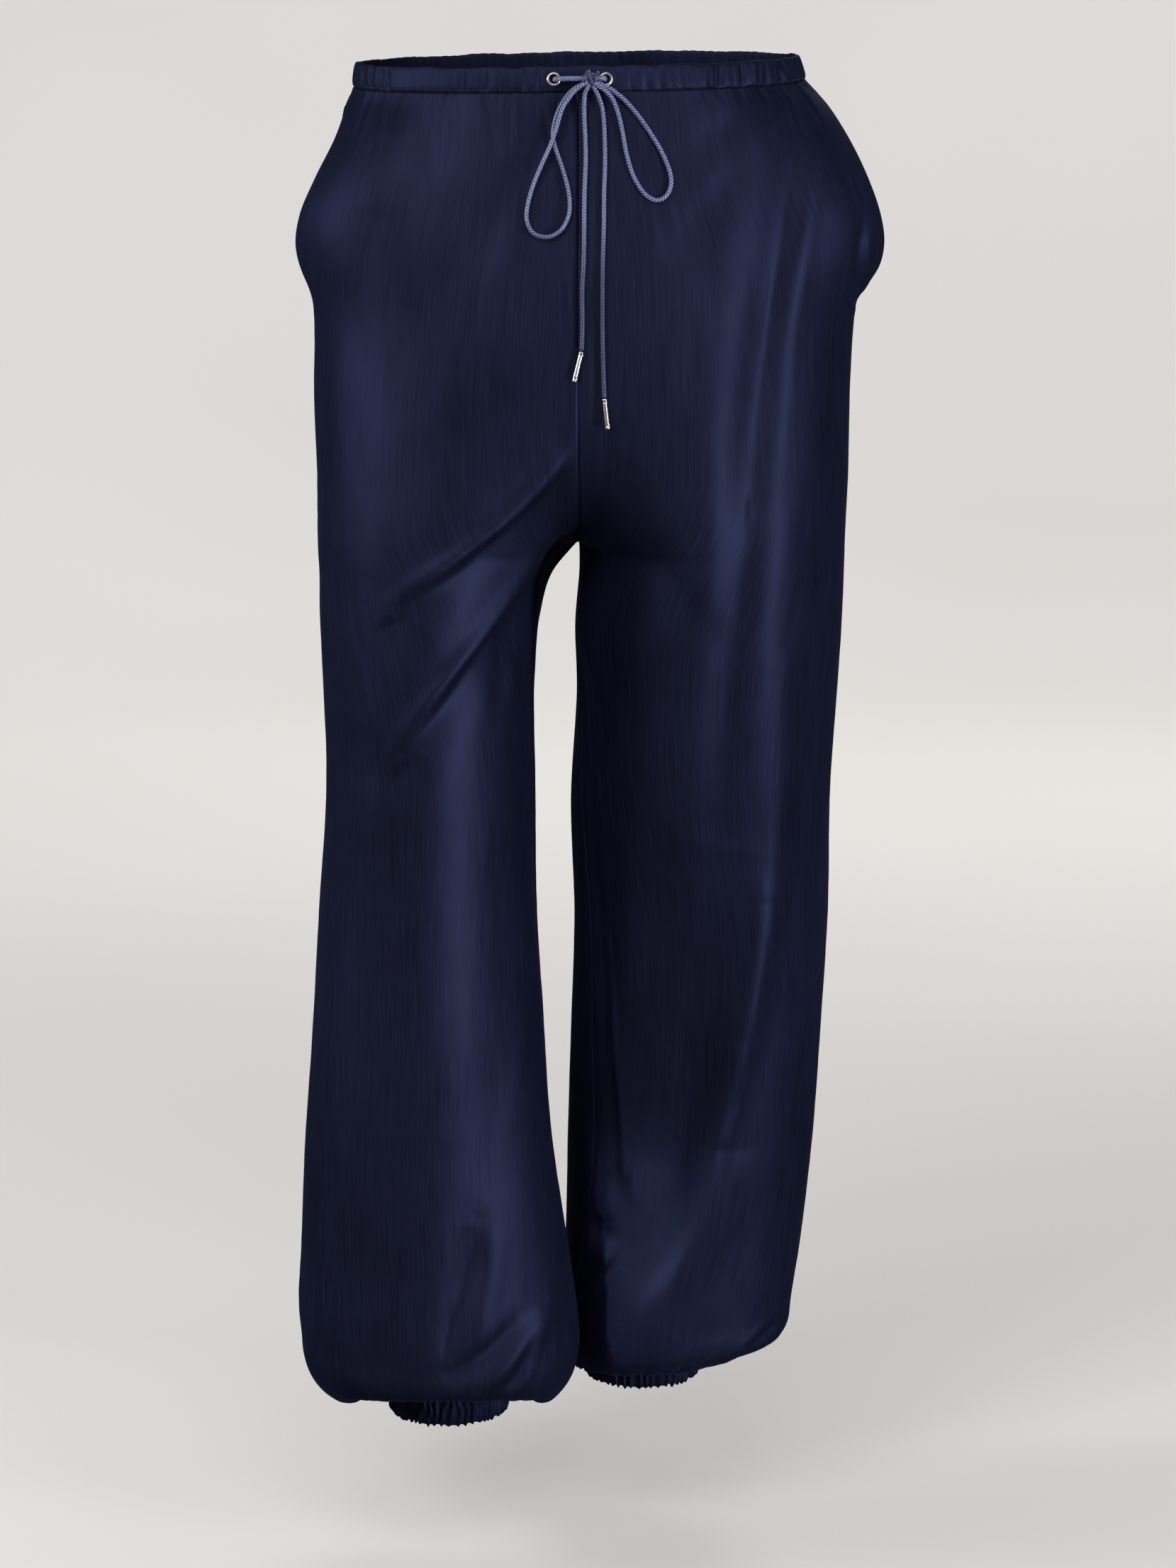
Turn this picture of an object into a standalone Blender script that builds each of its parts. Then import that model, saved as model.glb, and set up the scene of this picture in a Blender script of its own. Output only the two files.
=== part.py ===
# Jogger trousers in satin: four leg panels, a gathered waist casing, two gathered ankle cuffs,
# open side pockets, and a drawstring tied in a bow. They keep the hollow form they have when worn.
# Metres, +Z up, front towards -Y, the wearer's left at +X, origin at the centre of the waist opening.
import functools
import math

import bmesh
import bpy
import numpy as np
from mathutils import Vector

MM = 0.001
WALL = 1.8 * MM
SEAM_GAP = 0.3 * MM
CROTCH_HEIGHT = -325 * MM
CROTCH_DEPTH = 12 * MM
CROTCH_ANGLE = math.radians(75)
CROTCH_OPENS = 30 * MM
RISE_CURVES = {"front": 105 * MM, "back": 140 * MM}
RISE_STEPS = 240
RISE_REACH = 0.7
ROUNDNESS = 0.56
TORSO_RUN = 245 * MM
GAIN_LIMIT = 110 * MM
GAIN_FADE = 150 * MM
GAIN_CROWDING = 3
QUARTER_STEPS = 14

CASING_HEIGHT = 16 * MM
CASING_WALL = 2.8 * MM
CASING_BULGE = 1.2 * MM
CASING_GATHERS = 36
CASING_GATHER_DEPTH = 0.8 * MM
FLAT_FRONT = 22 * MM
FLAT_FADE = 12 * MM
WAIST_FRONT_RADIUS = 210 * MM
WAIST_STEPS = 400
WAIST_TILT = (0.016, 0.034, 8 * MM)
TILT_FADE = 200 * MM

PANEL_COLUMNS = 14
GATHER_COLUMNS = 28
GATHERS_PER_PANEL = 7
GATHERED_TOP_ROWS = 2
GATHERED_HEM_ROWS = 6
WAIST_GATHER_DEPTH = 0.9 * MM
WAIST_GATHER_FADE = 45 * MM
HEM_GATHER_DEPTH = 0.9 * MM

CUFF_HALF_WIDTH = 41.5 * MM
CUFF_HALF_DEPTH = 45 * MM
CUFF_HEIGHT = 38 * MM
CUFF_WALL = 2.4 * MM
CUFF_BULGE = 0.6 * MM
CUFF_GATHERS = 24
CUFF_GATHER_DEPTH = 1.1 * MM

MOUTH_TOP = -24 * MM
MOUTH_END = -152 * MM
MOUTH_EDGE_END = -160 * MM
MOUTH_GAPE = {"front": -26 * MM, "back": 6 * MM}
POCKET_WALL = 1.2 * MM
POCKET_LAYER = 1.6 * MM
POCKET_BAG = 7 * MM
POCKET_NARROWS = 0.7
POCKET_EDGE_CLEAR = 0.8 * MM
POCKET_CLOSING = 1.5
POCKET_TIP = 0.55
POCKET_ROWS = 9
POCKET_COLUMNS = 6
MOUTH_ROWS = (1, 5)

CORD = 3.2 * MM
CORD_STEP = 8.5 * MM
ROUTE_STEPS = 12
EYELET_OUTER = 9.6 * MM
EYELET_HOLE = 5.7 * MM
EYELET_FLANGE = 1.1 * MM
EYELET_CLEAR = 0.45 * MM
EYELET_CREST = 0.5 * MM
EYELET_STEPS = 16
CUTTER_LENGTH = 16 * MM
EYELET_BARREL_WALL = 0.5 * MM
EYELET_BARREL_LENGTH = 3.6 * MM
EYELET_HEIGHT = -3.6 * MM
EYELET_LEAN = math.radians(4.5)
EYELET_OFFSETS = {"right": -16.0 * MM, "left": 18.4 * MM}
AGLET = 3.4 * MM
KNOT_CENTRE = (8.0, -114.4, -3.2)
KNOT_HALF_SIZES = (6.6, 4.4, 5.4)

# Centre line of the torso, in mm: height, front, back.
CENTRE = (
    (20, -106, 99),
    (-16, -108.5, 101),
    (-50, -113, 106),
    (-100, -120, 117),
    (-150, -125, 128),
    (-200, -127, 134),
    (-250, -127, 133),
    (-330, -127, 128),
)

# Shape of each leg and its half of the torso, in mm, outwards from the centre plane:
# height, pocket edge, side, side depth, front crest out, front, seat crest out, back, inner out,
# inner depth, shift of the inseam towards the front.
COLUMNS = (
    "height", "mouth", "side", "side_depth", "crest", "front", "seat", "back", "inner",
    "inner_depth", "inseam",
)
LEGS = {
    "right": (
        (20, 152, 152, 2, 20, -106, 25, 99, 0, 12, 0),
        (-16, 154, 154, 2, 20, -108.5, 25, 101, 0, 12, 0),
        (-26, 158, 159, 2, 22, -110, 28, 103, 0, 12, 0),
        (-48, 166, 164, 2, 25, -113, 35, 106, 0, 12, 0),
        (-75, 180, 168, 2, 28, -117, 42, 111, 0, 12, 0),
        (-100, 191, 172, 2, 30, -120, 50, 117, 0, 12, 0),
        (-121, 194, 175, 2, 34, -123, 55, 122, 0, 12, 0),
        (-138, 190, 178, 2, 37, -124.5, 58, 126, 0, 12, 0),
        (-156, 181.5, 181.5, 2, 40, -125.5, 60, 129, 0, 12, 0),
        (-184, 182, 182, 2, 48, -127, 64, 132, 0, 12, 0),
        (-223, 183, 183, 1, 62, -128, 72, 134, 0, 12, 0),
        (-263, 182, 182, 0, 76, -129, 80, 131, 0, 12, 0),
        (-300, 182, 182, -2, 90, -129, 88, 125, 0, 12, 0),
        (-325, 182, 182, -3, 97, -128, 92, 120, 1, 12, 0),
        (-345, 181, 181, -4, 100, -127, 94, 116, 17, 10, -2),
        (-372, 181, 181, -5, 103, -125, 97, 112, 26, 6, -6),
        (-421, 179, 179, -7, 105, -122, 100, 105, 31, 0, -10),
        (-500, 177, 177, -10, 105, -120, 103, 95, 30, -8, -14),
        (-580, 182, 182, -14, 106, -118, 104, 89, 29, -14, -14),
        (-660, 187, 187, -18, 106, -118, 105, 86, 24.5, -18, -14),
        (-745, 194, 194, -22, 106, -119, 106, 81, 19, -22, -12),
        (-828, 198, 198, -26, 104, -120, 103, 73, 7, -26, -8),
        (-869, 200, 200, -28, 101, -121, 100, 68, 1, -28, -4),
        (-890, 198, 198, -29, 99, -120, 98, 66, -1, -29, 0),
    ),
    "left": (
        (20, 152, 152, 2, 20, -106, 25, 99, 0, 12, 0),
        (-16, 155, 155, 2, 20, -108.5, 25, 101, 0, 12, 0),
        (-26, 165, 165, 2, 22, -110, 28, 103, 0, 12, 0),
        (-48, 181, 170, 2, 25, -113, 35, 106, 0, 12, 0),
        (-75, 196, 174.5, 2, 28, -117, 42, 111, 0, 12, 0),
        (-100, 206, 178, 2, 30, -120, 50, 117, 0, 12, 0),
        (-121, 209.5, 181, 2, 34, -123, 55, 122, 0, 12, 0),
        (-138, 205, 184, 2, 37, -124.5, 58, 126, 0, 12, 0),
        (-156, 188.5, 188.5, 2, 40, -125.5, 60, 129, 0, 12, 0),
        (-184, 188, 188, 3, 48, -127, 64, 132, 0, 12, 0),
        (-223, 187, 187, 3, 62, -128, 72, 134, 0, 12, 0),
        (-263, 187, 187, 3, 76, -128, 80, 132, 0, 12, 0),
        (-300, 186, 186, 4, 88, -127, 86, 129, 0, 12, 0),
        (-325, 185, 185, 5, 94, -125, 90, 127, 0, 12, 0),
        (-345, 185, 185, 6, 94, -123, 92, 126, 0, 12, 0),
        (-384, 184, 184, 8, 92, -118, 92, 124, -2.5, 12, 12),
        (-424, 182, 182, 12, 90, -111, 92, 122, -1, 12, 26),
        (-507, 178, 178, 18, 88, -98, 90, 121, -5, 13, 44),
        (-591, 178, 178, 26, 88, -84, 88, 124, -3, 20, 52),
        (-675, 174, 174, 34, 86, -70, 84, 128, -5, 28, 56),
        (-762, 169, 169, 42, 82, -54, 82, 132, -8, 38, 60),
        (-849, 160, 160, 50, 74, -40, 76, 138, -10.5, 48, 44),
        (-893, 154, 154, 53, 68, -34, 70, 141, -14, 52, 34),
        (-905, 153, 153, 54, 66, -33, 68, 142, -15, 53, 31),
    ),
}

# Ankle cuffs, in mm: centre out from the centre plane, centre depth.
CUFFS = {"right": (93, -30), "left": (46, 55)}
# Blouson over each cuff: share of the way out from cuff to leg, least distance from the cuff
# and height, both in mm, then shares of the full gather depth and of the lift.
HEM = (
    (0.985, 0, -902, 0.1, 0.1),
    (0.935, 0, -915, 0.3, 0.3),
    (0.85, 15, -926, 0.5, 0.55),
    (0.72, 14.5, -935.5, 0.8, 0.8),
    (0.56, 12, -942, 1.0, 1.0),
    (0.36, 8.5, -941, 1.0, 1.0),
    (0.14, 4.8, -928, 0.2, 0.6),
    (0.0, 0, -910, 0.0, 0.0),
)
# Lift of the blouson's bottom in mm, at the inseam, the middle of the panel and the side.
HEM_LIFTS = {
    "front_right": (0, 24, 0),
    "back_right": (0, 0, 0),
    "front_left": (6, 17, 24),
    "back_left": (6, 8, 24),
}
HEM_START = -888 * MM
CUFF_TOP = -906 * MM

TORSO_ROWS = 12
LEG_ROWS = (-333, -346, -370, -405, -450, -500, -550, -600, -650, -700, -750, -800, -846, -888)

FOLD_STEPS = 12
FOLD_START = 0.06
FOLD_TAPER = 0.6
FOLD_TOP_FADE = 45 * MM
FOLD_HEM_ROWS = 4
CORNER_REACH = 0.25

# Large folds seen from the front (or back), in mm: panel, start x, z, middle x, z, end x, z,
# half width, depth (a trough is positive, a ridge negative).
FOLDS = (
    ("front_right", 2, -262, -32, -298, -104, -350, 17, 9),
    ("front_right", -4, -285, -50, -330, -115, -385, 18, -6),
    ("front_right", -5, -318, -58, -378, -106, -452, 16, 9),
    ("front_right", -40, -480, -52, -620, -66, -790, 20, 5),
    ("front_right", -118, -330, -128, -520, -138, -760, 30, -5),
    ("front_right", -73, -790, -80, -835, -88, -878, 13, 6),
    ("front_left", 148, -28, 132, -160, 119, -236, 22, 8),
    ("front_left", 119, -236, 103, -380, 91, -520, 22, 8),
    ("front_left", 142, -420, 128, -570, 105, -705, 20, -6),
    ("front_left", 105, -705, 78, -795, 29, -866, 17, -7),
    ("front_left", 26, -780, 22, -830, 0, -866, 12, 6),
    ("front_left", 52, -520, 50, -640, 40, -740, 22, 5),
    ("back_right", -20, -200, -62, -300, -118, -372, 22, 8),
    ("back_right", -30, -330, -70, -430, -104, -520, 22, 8),
    ("back_right", -128, -240, -136, -460, -140, -700, 28, -6),
    ("back_right", -76, -560, -84, -700, -92, -850, 22, 7),
    ("back_left", 22, -205, 66, -305, 122, -380, 22, 8),
    ("back_left", 34, -340, 72, -440, 106, -530, 22, 8),
    ("back_left", 132, -250, 138, -470, 132, -700, 28, -6),
    ("back_left", 62, -560, 70, -700, 66, -850, 22, 7),
)

# Routes of the drawstring, in mm: across, depth, height.
CORD_ROUTES = {
    "cord_lead_right": (
        (-15.4, -105, -3.6), (-15.5, -110, -3.6), (-14.9, -113, -3.5), (-11.4, -114.5, -3.3),
        (-5.5, -114.4, -3), (0.7, -114.3, -3.1),
    ),
    "cord_lead_left": (
        (17.9, -105, -3.6), (17.9, -109.8, -3.6), (17.8, -112, -3.3), (17.2, -113.6, -3),
        (16, -114.4, -2.8),
    ),
    "cord_loop_right": (
        (2.2, -116.8, -7.6), (-1.5, -116.4, -10.5), (-5.5, -116.3, -15), (-10.5, -116.7, -23),
        (-14.5, -118, -36), (-18.5, -118.6, -47), (-24, -118.8, -59), (-30.5, -119.6, -75),
        (-34, -121.2, -90), (-33, -122.4, -98.5), (-29.5, -123, -103.8), (-24, -123.3, -106),
        (-18.5, -123.3, -106), (-12.8, -122.9, -103), (-8.6, -122.2, -98), (-5.6, -121, -89),
        (-6.4, -119.4, -76), (-10.5, -117.4, -61), (-14.4, -115.9, -50), (-16.6, -114.8, -41),
        (-15.4, -113.5, -31), (-11.6, -112.8, -21), (-6.6, -112.4, -13.6), (-2.2, -112.4, -9.4),
        (1.6, -112.6, -7.4),
    ),
    "cord_loop_left": (
        (13.6, -116.8, -7.8), (17.6, -116.2, -10.5), (22.6, -115, -16), (26.6, -115, -26),
        (29.4, -115.6, -38), (32, -116.8, -52), (36.4, -118.2, -66), (43, -119.6, -77),
        (49.5, -119.9, -81.8), (55.5, -119.4, -81.6), (60, -118.4, -77), (61.6, -117.2, -70),
        (60, -116, -62), (55, -114.7, -50.5), (48, -113.5, -39), (39.4, -112.8, -27),
        (31.4, -112.8, -17.8), (24.4, -112.4, -12), (19.8, -112.9, -8.9), (15.9, -113.2, -7.4),
    ),
    "cord_tail_right": (
        (6.2, -115.4, -9.2), (4.4, -114.6, -14), (4, -114.2, -26), (4.8, -115.4, -43),
        (5, -117.2, -58), (4.2, -119.8, -78), (4, -122.4, -100), (3.8, -124.7, -121),
        (2.8, -126.7, -143), (3, -127.9, -163), (2.4, -128.8, -181),
    ),
    "cord_tail_left": (
        (10.6, -115.6, -9.1), (13.6, -115, -15), (16.2, -113.4, -24), (17.4, -114.7, -38),
        (17.8, -117.2, -58), (17.2, -120, -78), (17, -122.7, -100), (16.4, -125, -121),
        (16.2, -127, -143), (16.2, -128.3, -168), (16.6, -129.2, -190), (17.4, -129.7, -212),
    ),
}
# Each metal cord end, in mm: start and end of its axis.
AGLET_AXES = {
    "right": ((2.3, -128.9, -181.5), (-2.6, -129.5, -201.6)),
    "left": ((17.45, -129.8, -212.5), (19.8, -130, -233)),
}

# Finishes: sRGB red, green, blue, then roughness and metallic.
FINISHES = {
    "satin": (26, 30, 52, 0.42, 0.0),
    "pocketing": (18, 20, 34, 0.7, 0.0),
    "cord": (70, 74, 112, 0.45, 0.0),
    "nickel": (196, 194, 188, 0.28, 1.0),
}


@functools.lru_cache(maxsize=None)
def column_curve(table, column):
    heights = np.array([row[0] for row in table][::-1], float) * MM
    values = np.array([row[column] for row in table][::-1], float) * MM
    return heights, values, np.gradient(values, heights)


def read(table, column, height):
    # Value of a column at a height, on a smooth curve through the rows.
    heights, values, slopes = column_curve(table, column)
    place = min(max(int(np.searchsorted(heights, height)) - 1, 0), len(heights) - 2)
    span = heights[place + 1] - heights[place]
    share = min(max((height - heights[place]) / span, 0.0), 1.0)
    low, high = values[place], values[place + 1]
    turn = 3 * share**2 - 2 * share**3
    rise = share * (1 - share)
    ends = slopes[place] * (1 - share) - slopes[place + 1] * share
    return low + (high - low) * turn + span * rise * ends


def leg_value(leg, name, height):
    return read(LEGS[leg], COLUMNS.index(name), height)


def rise_depth(panel, height):
    # Depth of the centre seam: straight down, then a quarter round to the crotch.
    straight = read(CENTRE, 1 if panel == "front" else 2, height)
    above = (height - CROTCH_HEIGHT) / RISE_CURVES[panel]
    if above >= 1:
        return straight
    if above <= 0:
        return CROTCH_DEPTH
    return CROTCH_DEPTH + (straight - CROTCH_DEPTH) * math.sqrt(1 - (1 - above) ** 2)


def bezier(start, leave, arrive, end):
    # Points of a cubic arc, without its last point.
    share = np.linspace(0, 1, QUARTER_STEPS, endpoint=False)[:, None]
    rest = 1 - share
    parts = (rest**3, 3 * rest**2 * share, 3 * rest * share**2, share**3)
    return sum(part * np.array(point) for part, point in zip(parts, (start, leave, arrive, end)))


def saddle(depths, crest_depth, seam_depth):
    # Carries the closed leg's inner curve over to the centre seam, smoothly across the seam.
    whole = crest_depth - CROTCH_DEPTH
    seam = (seam_depth - CROTCH_DEPTH) / whole
    own = (depths - CROTCH_DEPTH) / whole
    return CROTCH_DEPTH + whole * np.sqrt(seam**2 + own**2 * max(1 - seam**2, 0.0))


@functools.lru_cache(maxsize=None)
def half_section(leg, panel, height):
    # One panel's run at a height, from the inner edge to the side, as (out, depth) points.
    front = panel == "front"
    crest = leg_value(leg, "crest" if front else "seat", height)
    depth = leg_value(leg, "front" if front else "back", height)
    side_depth = leg_value(leg, "side_depth", height)
    in_front_edge = front and height > MOUTH_EDGE_END
    side = leg_value(leg, "mouth" if in_front_edge else "side", height)
    if MOUTH_END < height < MOUTH_TOP:
        opened = math.sin(math.pi * (height - MOUTH_END) / (MOUTH_TOP - MOUTH_END))
        side_depth += MOUTH_GAPE[panel] * opened
    joined = height >= CROTCH_HEIGHT
    inner = 0.0 if joined else leg_value(leg, "inner", height)
    inner_depth = CROTCH_DEPTH if joined else leg_value(leg, "inner_depth", height)
    opened = min(max((CROTCH_HEIGHT - height) / CROTCH_OPENS, 0.0), 1.0)
    angle = CROTCH_ANGLE + (math.pi / 2 - CROTCH_ANGLE) * opened
    towards = -1 if front else 1
    reach = ROUNDNESS * (crest - inner)
    drop = ROUNDNESS * abs(depth - inner_depth)
    handle = (math.cos(angle) * reach, towards * math.sin(angle) * drop)
    start = (inner, inner_depth)
    middle = (crest, depth)
    end = (side, side_depth)
    first = bezier(start, (inner + handle[0], inner_depth + handle[1]), (crest - reach, depth), middle)
    if joined:
        first[:, 1] = saddle(first[:, 1], depth, rise_depth(panel, height))
    out = ROUNDNESS * (side - crest)
    round_in = ROUNDNESS * (depth - side_depth)
    second = bezier(middle, (crest + out, depth), (side, side_depth + round_in), end)
    return np.vstack([first, second, [end]])


def along(points, length):
    # The point at a length along a line of points, run on straight past its ends.
    steps = np.linalg.norm(np.diff(points, axis=0), axis=1)
    marks = np.concatenate([[0], np.cumsum(steps)])
    place = min(max(int(np.searchsorted(marks, length)) - 1, 0), len(steps) - 1)
    share = (length - marks[place]) / max(steps[place], 1e-9)
    return points[place] + (points[place + 1] - points[place]) * share


def run_length(points):
    return float(np.linalg.norm(np.diff(points, axis=0), axis=1).sum())


def run_at(length, height, share):
    # Length at a share of the way out. What a section gains near the crotch goes to its inner end.
    fade = min(max(1 - (CROTCH_HEIGHT - height) / GAIN_FADE, 0.0), 1.0)
    gain = min(max(length - TORSO_RUN, 0.0), GAIN_LIMIT) * fade
    rest = 1 - share
    return length - (length - gain) * rest - gain * rest**GAIN_CROWDING


def flat_point(leg, panel, height, share, nudge=0.0):
    # Point of the leg's surface before tilt and folds; share runs from the inner edge to the side.
    front = half_section(leg, "front", height)
    back = half_section(leg, "back", height)
    own = front if panel == "front" else back
    shift = leg_value(leg, "inseam", height) if height < CROTCH_HEIGHT else 0.0
    own_length = run_length(own)
    start = shift if panel == "front" else -shift
    at = start + run_at(own_length - start, height, share) + nudge
    if at < 0 and height < CROTCH_HEIGHT:
        other = back if panel == "front" else front
        out, depth = along(other, -at)
    else:
        out, depth = along(own, at)
    return np.array([out if leg == "left" else -out, depth, height])


@functools.lru_cache(maxsize=None)
def inner_height(panel, row):
    # Height of the torso row at the centre seam, with even steps along the rise.
    curve = RISE_CURVES[panel]
    heights = np.linspace(-CASING_HEIGHT - SEAM_GAP, CROTCH_HEIGHT, RISE_STEPS)
    bend = (heights - CROTCH_HEIGHT) < curve
    heights[bend] = CROTCH_HEIGHT + curve * (1 - np.cos(np.linspace(math.pi / 2, 0, bend.sum())))
    depths = np.array([rise_depth(panel, height) for height in heights])
    steps = np.hypot(np.diff(heights), np.diff(depths))
    marks = np.concatenate([[0], np.cumsum(steps)])
    return float(np.interp(row / TORSO_ROWS * marks[-1], marks, heights))


def torso_height(panel, row, share):
    # Rows are level at the casing and at the crotch, and follow the rise between them.
    top = -CASING_HEIGHT - SEAM_GAP
    side = top + (CROTCH_HEIGHT - top) * row / TORSO_ROWS
    inner = inner_height(panel, row)
    fade = max(0.0, 1 - share / RISE_REACH)
    return side + (inner - side) * fade * fade * (3 - 2 * fade)


def tilt(point):
    # The waist lies higher at the back and at the wearer's left.
    fade = min(max(1 + point[2] / TILT_FADE, 0.0), 1.0)
    lift = WAIST_TILT[0] * point[0] + WAIST_TILT[1] * point[1] + WAIST_TILT[2]
    return point + np.array([0, 0, lift * fade * fade * (3 - 2 * fade)])


def cuff_point(leg, panel, share, grow=0.0):
    # Point on the ankle cuff's ellipse, in step with the panel's share.
    centre, depth = (value * MM for value in CUFFS[leg])
    angle = math.pi * share
    out = centre - (CUFF_HALF_WIDTH + grow) * math.cos(angle)
    towards = -1 if panel == "front" else 1
    y = depth + towards * (CUFF_HALF_DEPTH + grow) * math.sin(angle)
    return np.array([out if leg == "left" else -out, y, 0.0])


def hem_lift(leg, panel, share):
    # Lift of the blouson's bottom at a share of the panel, on a parabola through its three values.
    inseam, middle, side = (value * MM for value in HEM_LIFTS[f"{panel}_{leg}"])
    bow = middle - (inseam + side) / 2
    return inseam + (side - inseam) * share + 4 * bow * share * (1 - share)


def body_point(leg, panel, row, share, nudge=0.0):
    # Smooth surface of a panel at a row: torso rows, then leg rows, then the blouson.
    if row <= TORSO_ROWS:
        height = torso_height(panel, row, share)
        return tilt(flat_point(leg, panel, height, share, nudge))
    row -= TORSO_ROWS
    if row <= len(LEG_ROWS):
        return flat_point(leg, panel, LEG_ROWS[row - 1] * MM, share, nudge)
    reach, least, height, _, lifted = HEM[row - len(LEG_ROWS) - 1]
    out = flat_point(leg, panel, HEM_START, share, nudge)
    cuff = cuff_point(leg, panel, share + nudge / (math.pi * CUFF_HALF_DEPTH), SEAM_GAP)
    away = out - cuff
    away[2] = 0.0
    distance = np.linalg.norm(away)
    point = cuff + away / distance * max(reach * distance, least * MM)
    point[2] = height * MM + hem_lift(leg, panel, share) * lifted
    return point


def fold_depth(name, point):
    # Push of the large folds at a point: each is a soft trough or ridge beside a curved line.
    push = 0.0
    for panel, *line, width, depth in FOLDS:
        if panel != name:
            continue
        ends = np.array(line, float).reshape(3, 2) * MM
        share = np.linspace(0, 1, FOLD_STEPS + 1)[:, None]
        path = (1 - share) ** 2 * ends[0] + 2 * share * (1 - share) * ends[1] + share**2 * ends[2]
        away = np.hypot(path[:, 0] - point[0], path[:, 1] - point[2])
        nearest = int(away.argmin())
        run = FOLD_START + (1 - 2 * FOLD_START) * nearest / FOLD_STEPS
        taper = math.sin(math.pi * run) ** FOLD_TAPER
        push += depth * MM * taper * math.exp(-((away[nearest] / (width * MM)) ** 2))
    return push


def fold_fade(point, row, share):
    # Folds die out at the casing, at the cuff and at the corners of the crotch row.
    top = min(max(-point[2] / FOLD_TOP_FADE, 0.0), 1.0)
    hem = min(max((TORSO_ROWS + len(LEG_ROWS) + FOLD_HEM_ROWS - row) / FOLD_HEM_ROWS, 0.0), 1.0)
    corner = min(share, 1 - share) / CORNER_REACH if row == TORSO_ROWS else 1.0
    return top * hem * min(corner, 1.0)


def panel_rows():
    return TORSO_ROWS + len(LEG_ROWS) + len(HEM) + 1


def smooth_normals(leg, panel, rows, columns):
    # Outward directions of the smooth surface on a grid of rows and columns.
    points = np.array(
        [[body_point(leg, panel, row, col / columns) for col in range(columns + 1)] for row in range(rows)]
    )
    across = np.gradient(points, axis=1)
    down = np.gradient(points, axis=0)
    normals = np.cross(across, down)
    if (leg == "left") == (panel == "front"):
        normals = -normals
    seam = down[: TORSO_ROWS + 1, 0]
    normals[: TORSO_ROWS + 1, 0] = np.stack([0 * seam[:, 0], seam[:, 2], -seam[:, 1]], axis=1)
    if panel == "back":
        normals[: TORSO_ROWS + 1, 0] *= -1
    normals[TORSO_ROWS, 0] = (0, 0, -1)
    normals[0, :, 2] = 0.0
    normals[-1, :] = (0, 0, -1)
    return normals / np.linalg.norm(normals, axis=2, keepdims=True)


def match_seams(fields):
    # Both panels of a side seam or an inseam share one direction there, so their walls stay apart.
    front, back = fields["front"], fields["back"]
    for row in range(front.shape[0]):
        for edge in (0, -1):
            centre_seam = edge == 0 and row <= TORSO_ROWS
            mouth = edge == -1 and MOUTH_ROWS[0] <= row <= MOUTH_ROWS[1]
            if centre_seam or mouth:
                continue
            shared = front[row, edge] + back[row, edge]
            front[row, edge] = back[row, edge] = shared / np.linalg.norm(shared)
    return fields


def edge_nudge(share):
    # Moves the two edge columns in by half the seam gap.
    return {0.0: SEAM_GAP / 2, 1.0: -SEAM_GAP / 2}.get(share, 0.0)


def gather_push(row, share, point):
    # Waves of the gathers under the casing and above the cuff.
    wave = 1 + math.cos(2 * math.pi * GATHERS_PER_PANEL * share)
    below = -CASING_HEIGHT - point[2]
    waist = WAIST_GATHER_DEPTH * min(max(1 - below / WAIST_GATHER_FADE, 0.0), 1.0) ** 2
    hem_row = row - TORSO_ROWS - len(LEG_ROWS) - 1
    hem = HEM_GATHER_DEPTH * HEM[hem_row][3] if hem_row >= 0 else 0.0
    return wave * (waist + hem)


def zip_rows(mesh, above, below, flip):
    # Triangles between two rows that may hold different numbers of points.
    i = j = 0
    while i < len(above) - 1 or j < len(below) - 1:
        next_above = (i + 1) / (len(above) - 1) if i < len(above) - 1 else 2.0
        next_below = (j + 1) / (len(below) - 1) if j < len(below) - 1 else 2.0
        if next_above <= next_below:
            corners = (above[i], above[i + 1], below[j])
            i += 1
        else:
            corners = (above[i], below[j + 1], below[j])
            j += 1
        if len(set(corners)) == 3:
            mesh.faces.new(corners[::-1] if flip else corners)


def make_object(name, mesh, finish):
    bmesh.ops.recalc_face_normals(mesh, faces=mesh.faces)
    data = bpy.data.meshes.new(name)
    mesh.to_mesh(data)
    mesh.free()
    made = bpy.data.objects.new(name, data)
    PARTS.objects.link(made)
    data.materials.append(finish)
    data.shade_smooth()
    return made


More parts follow.
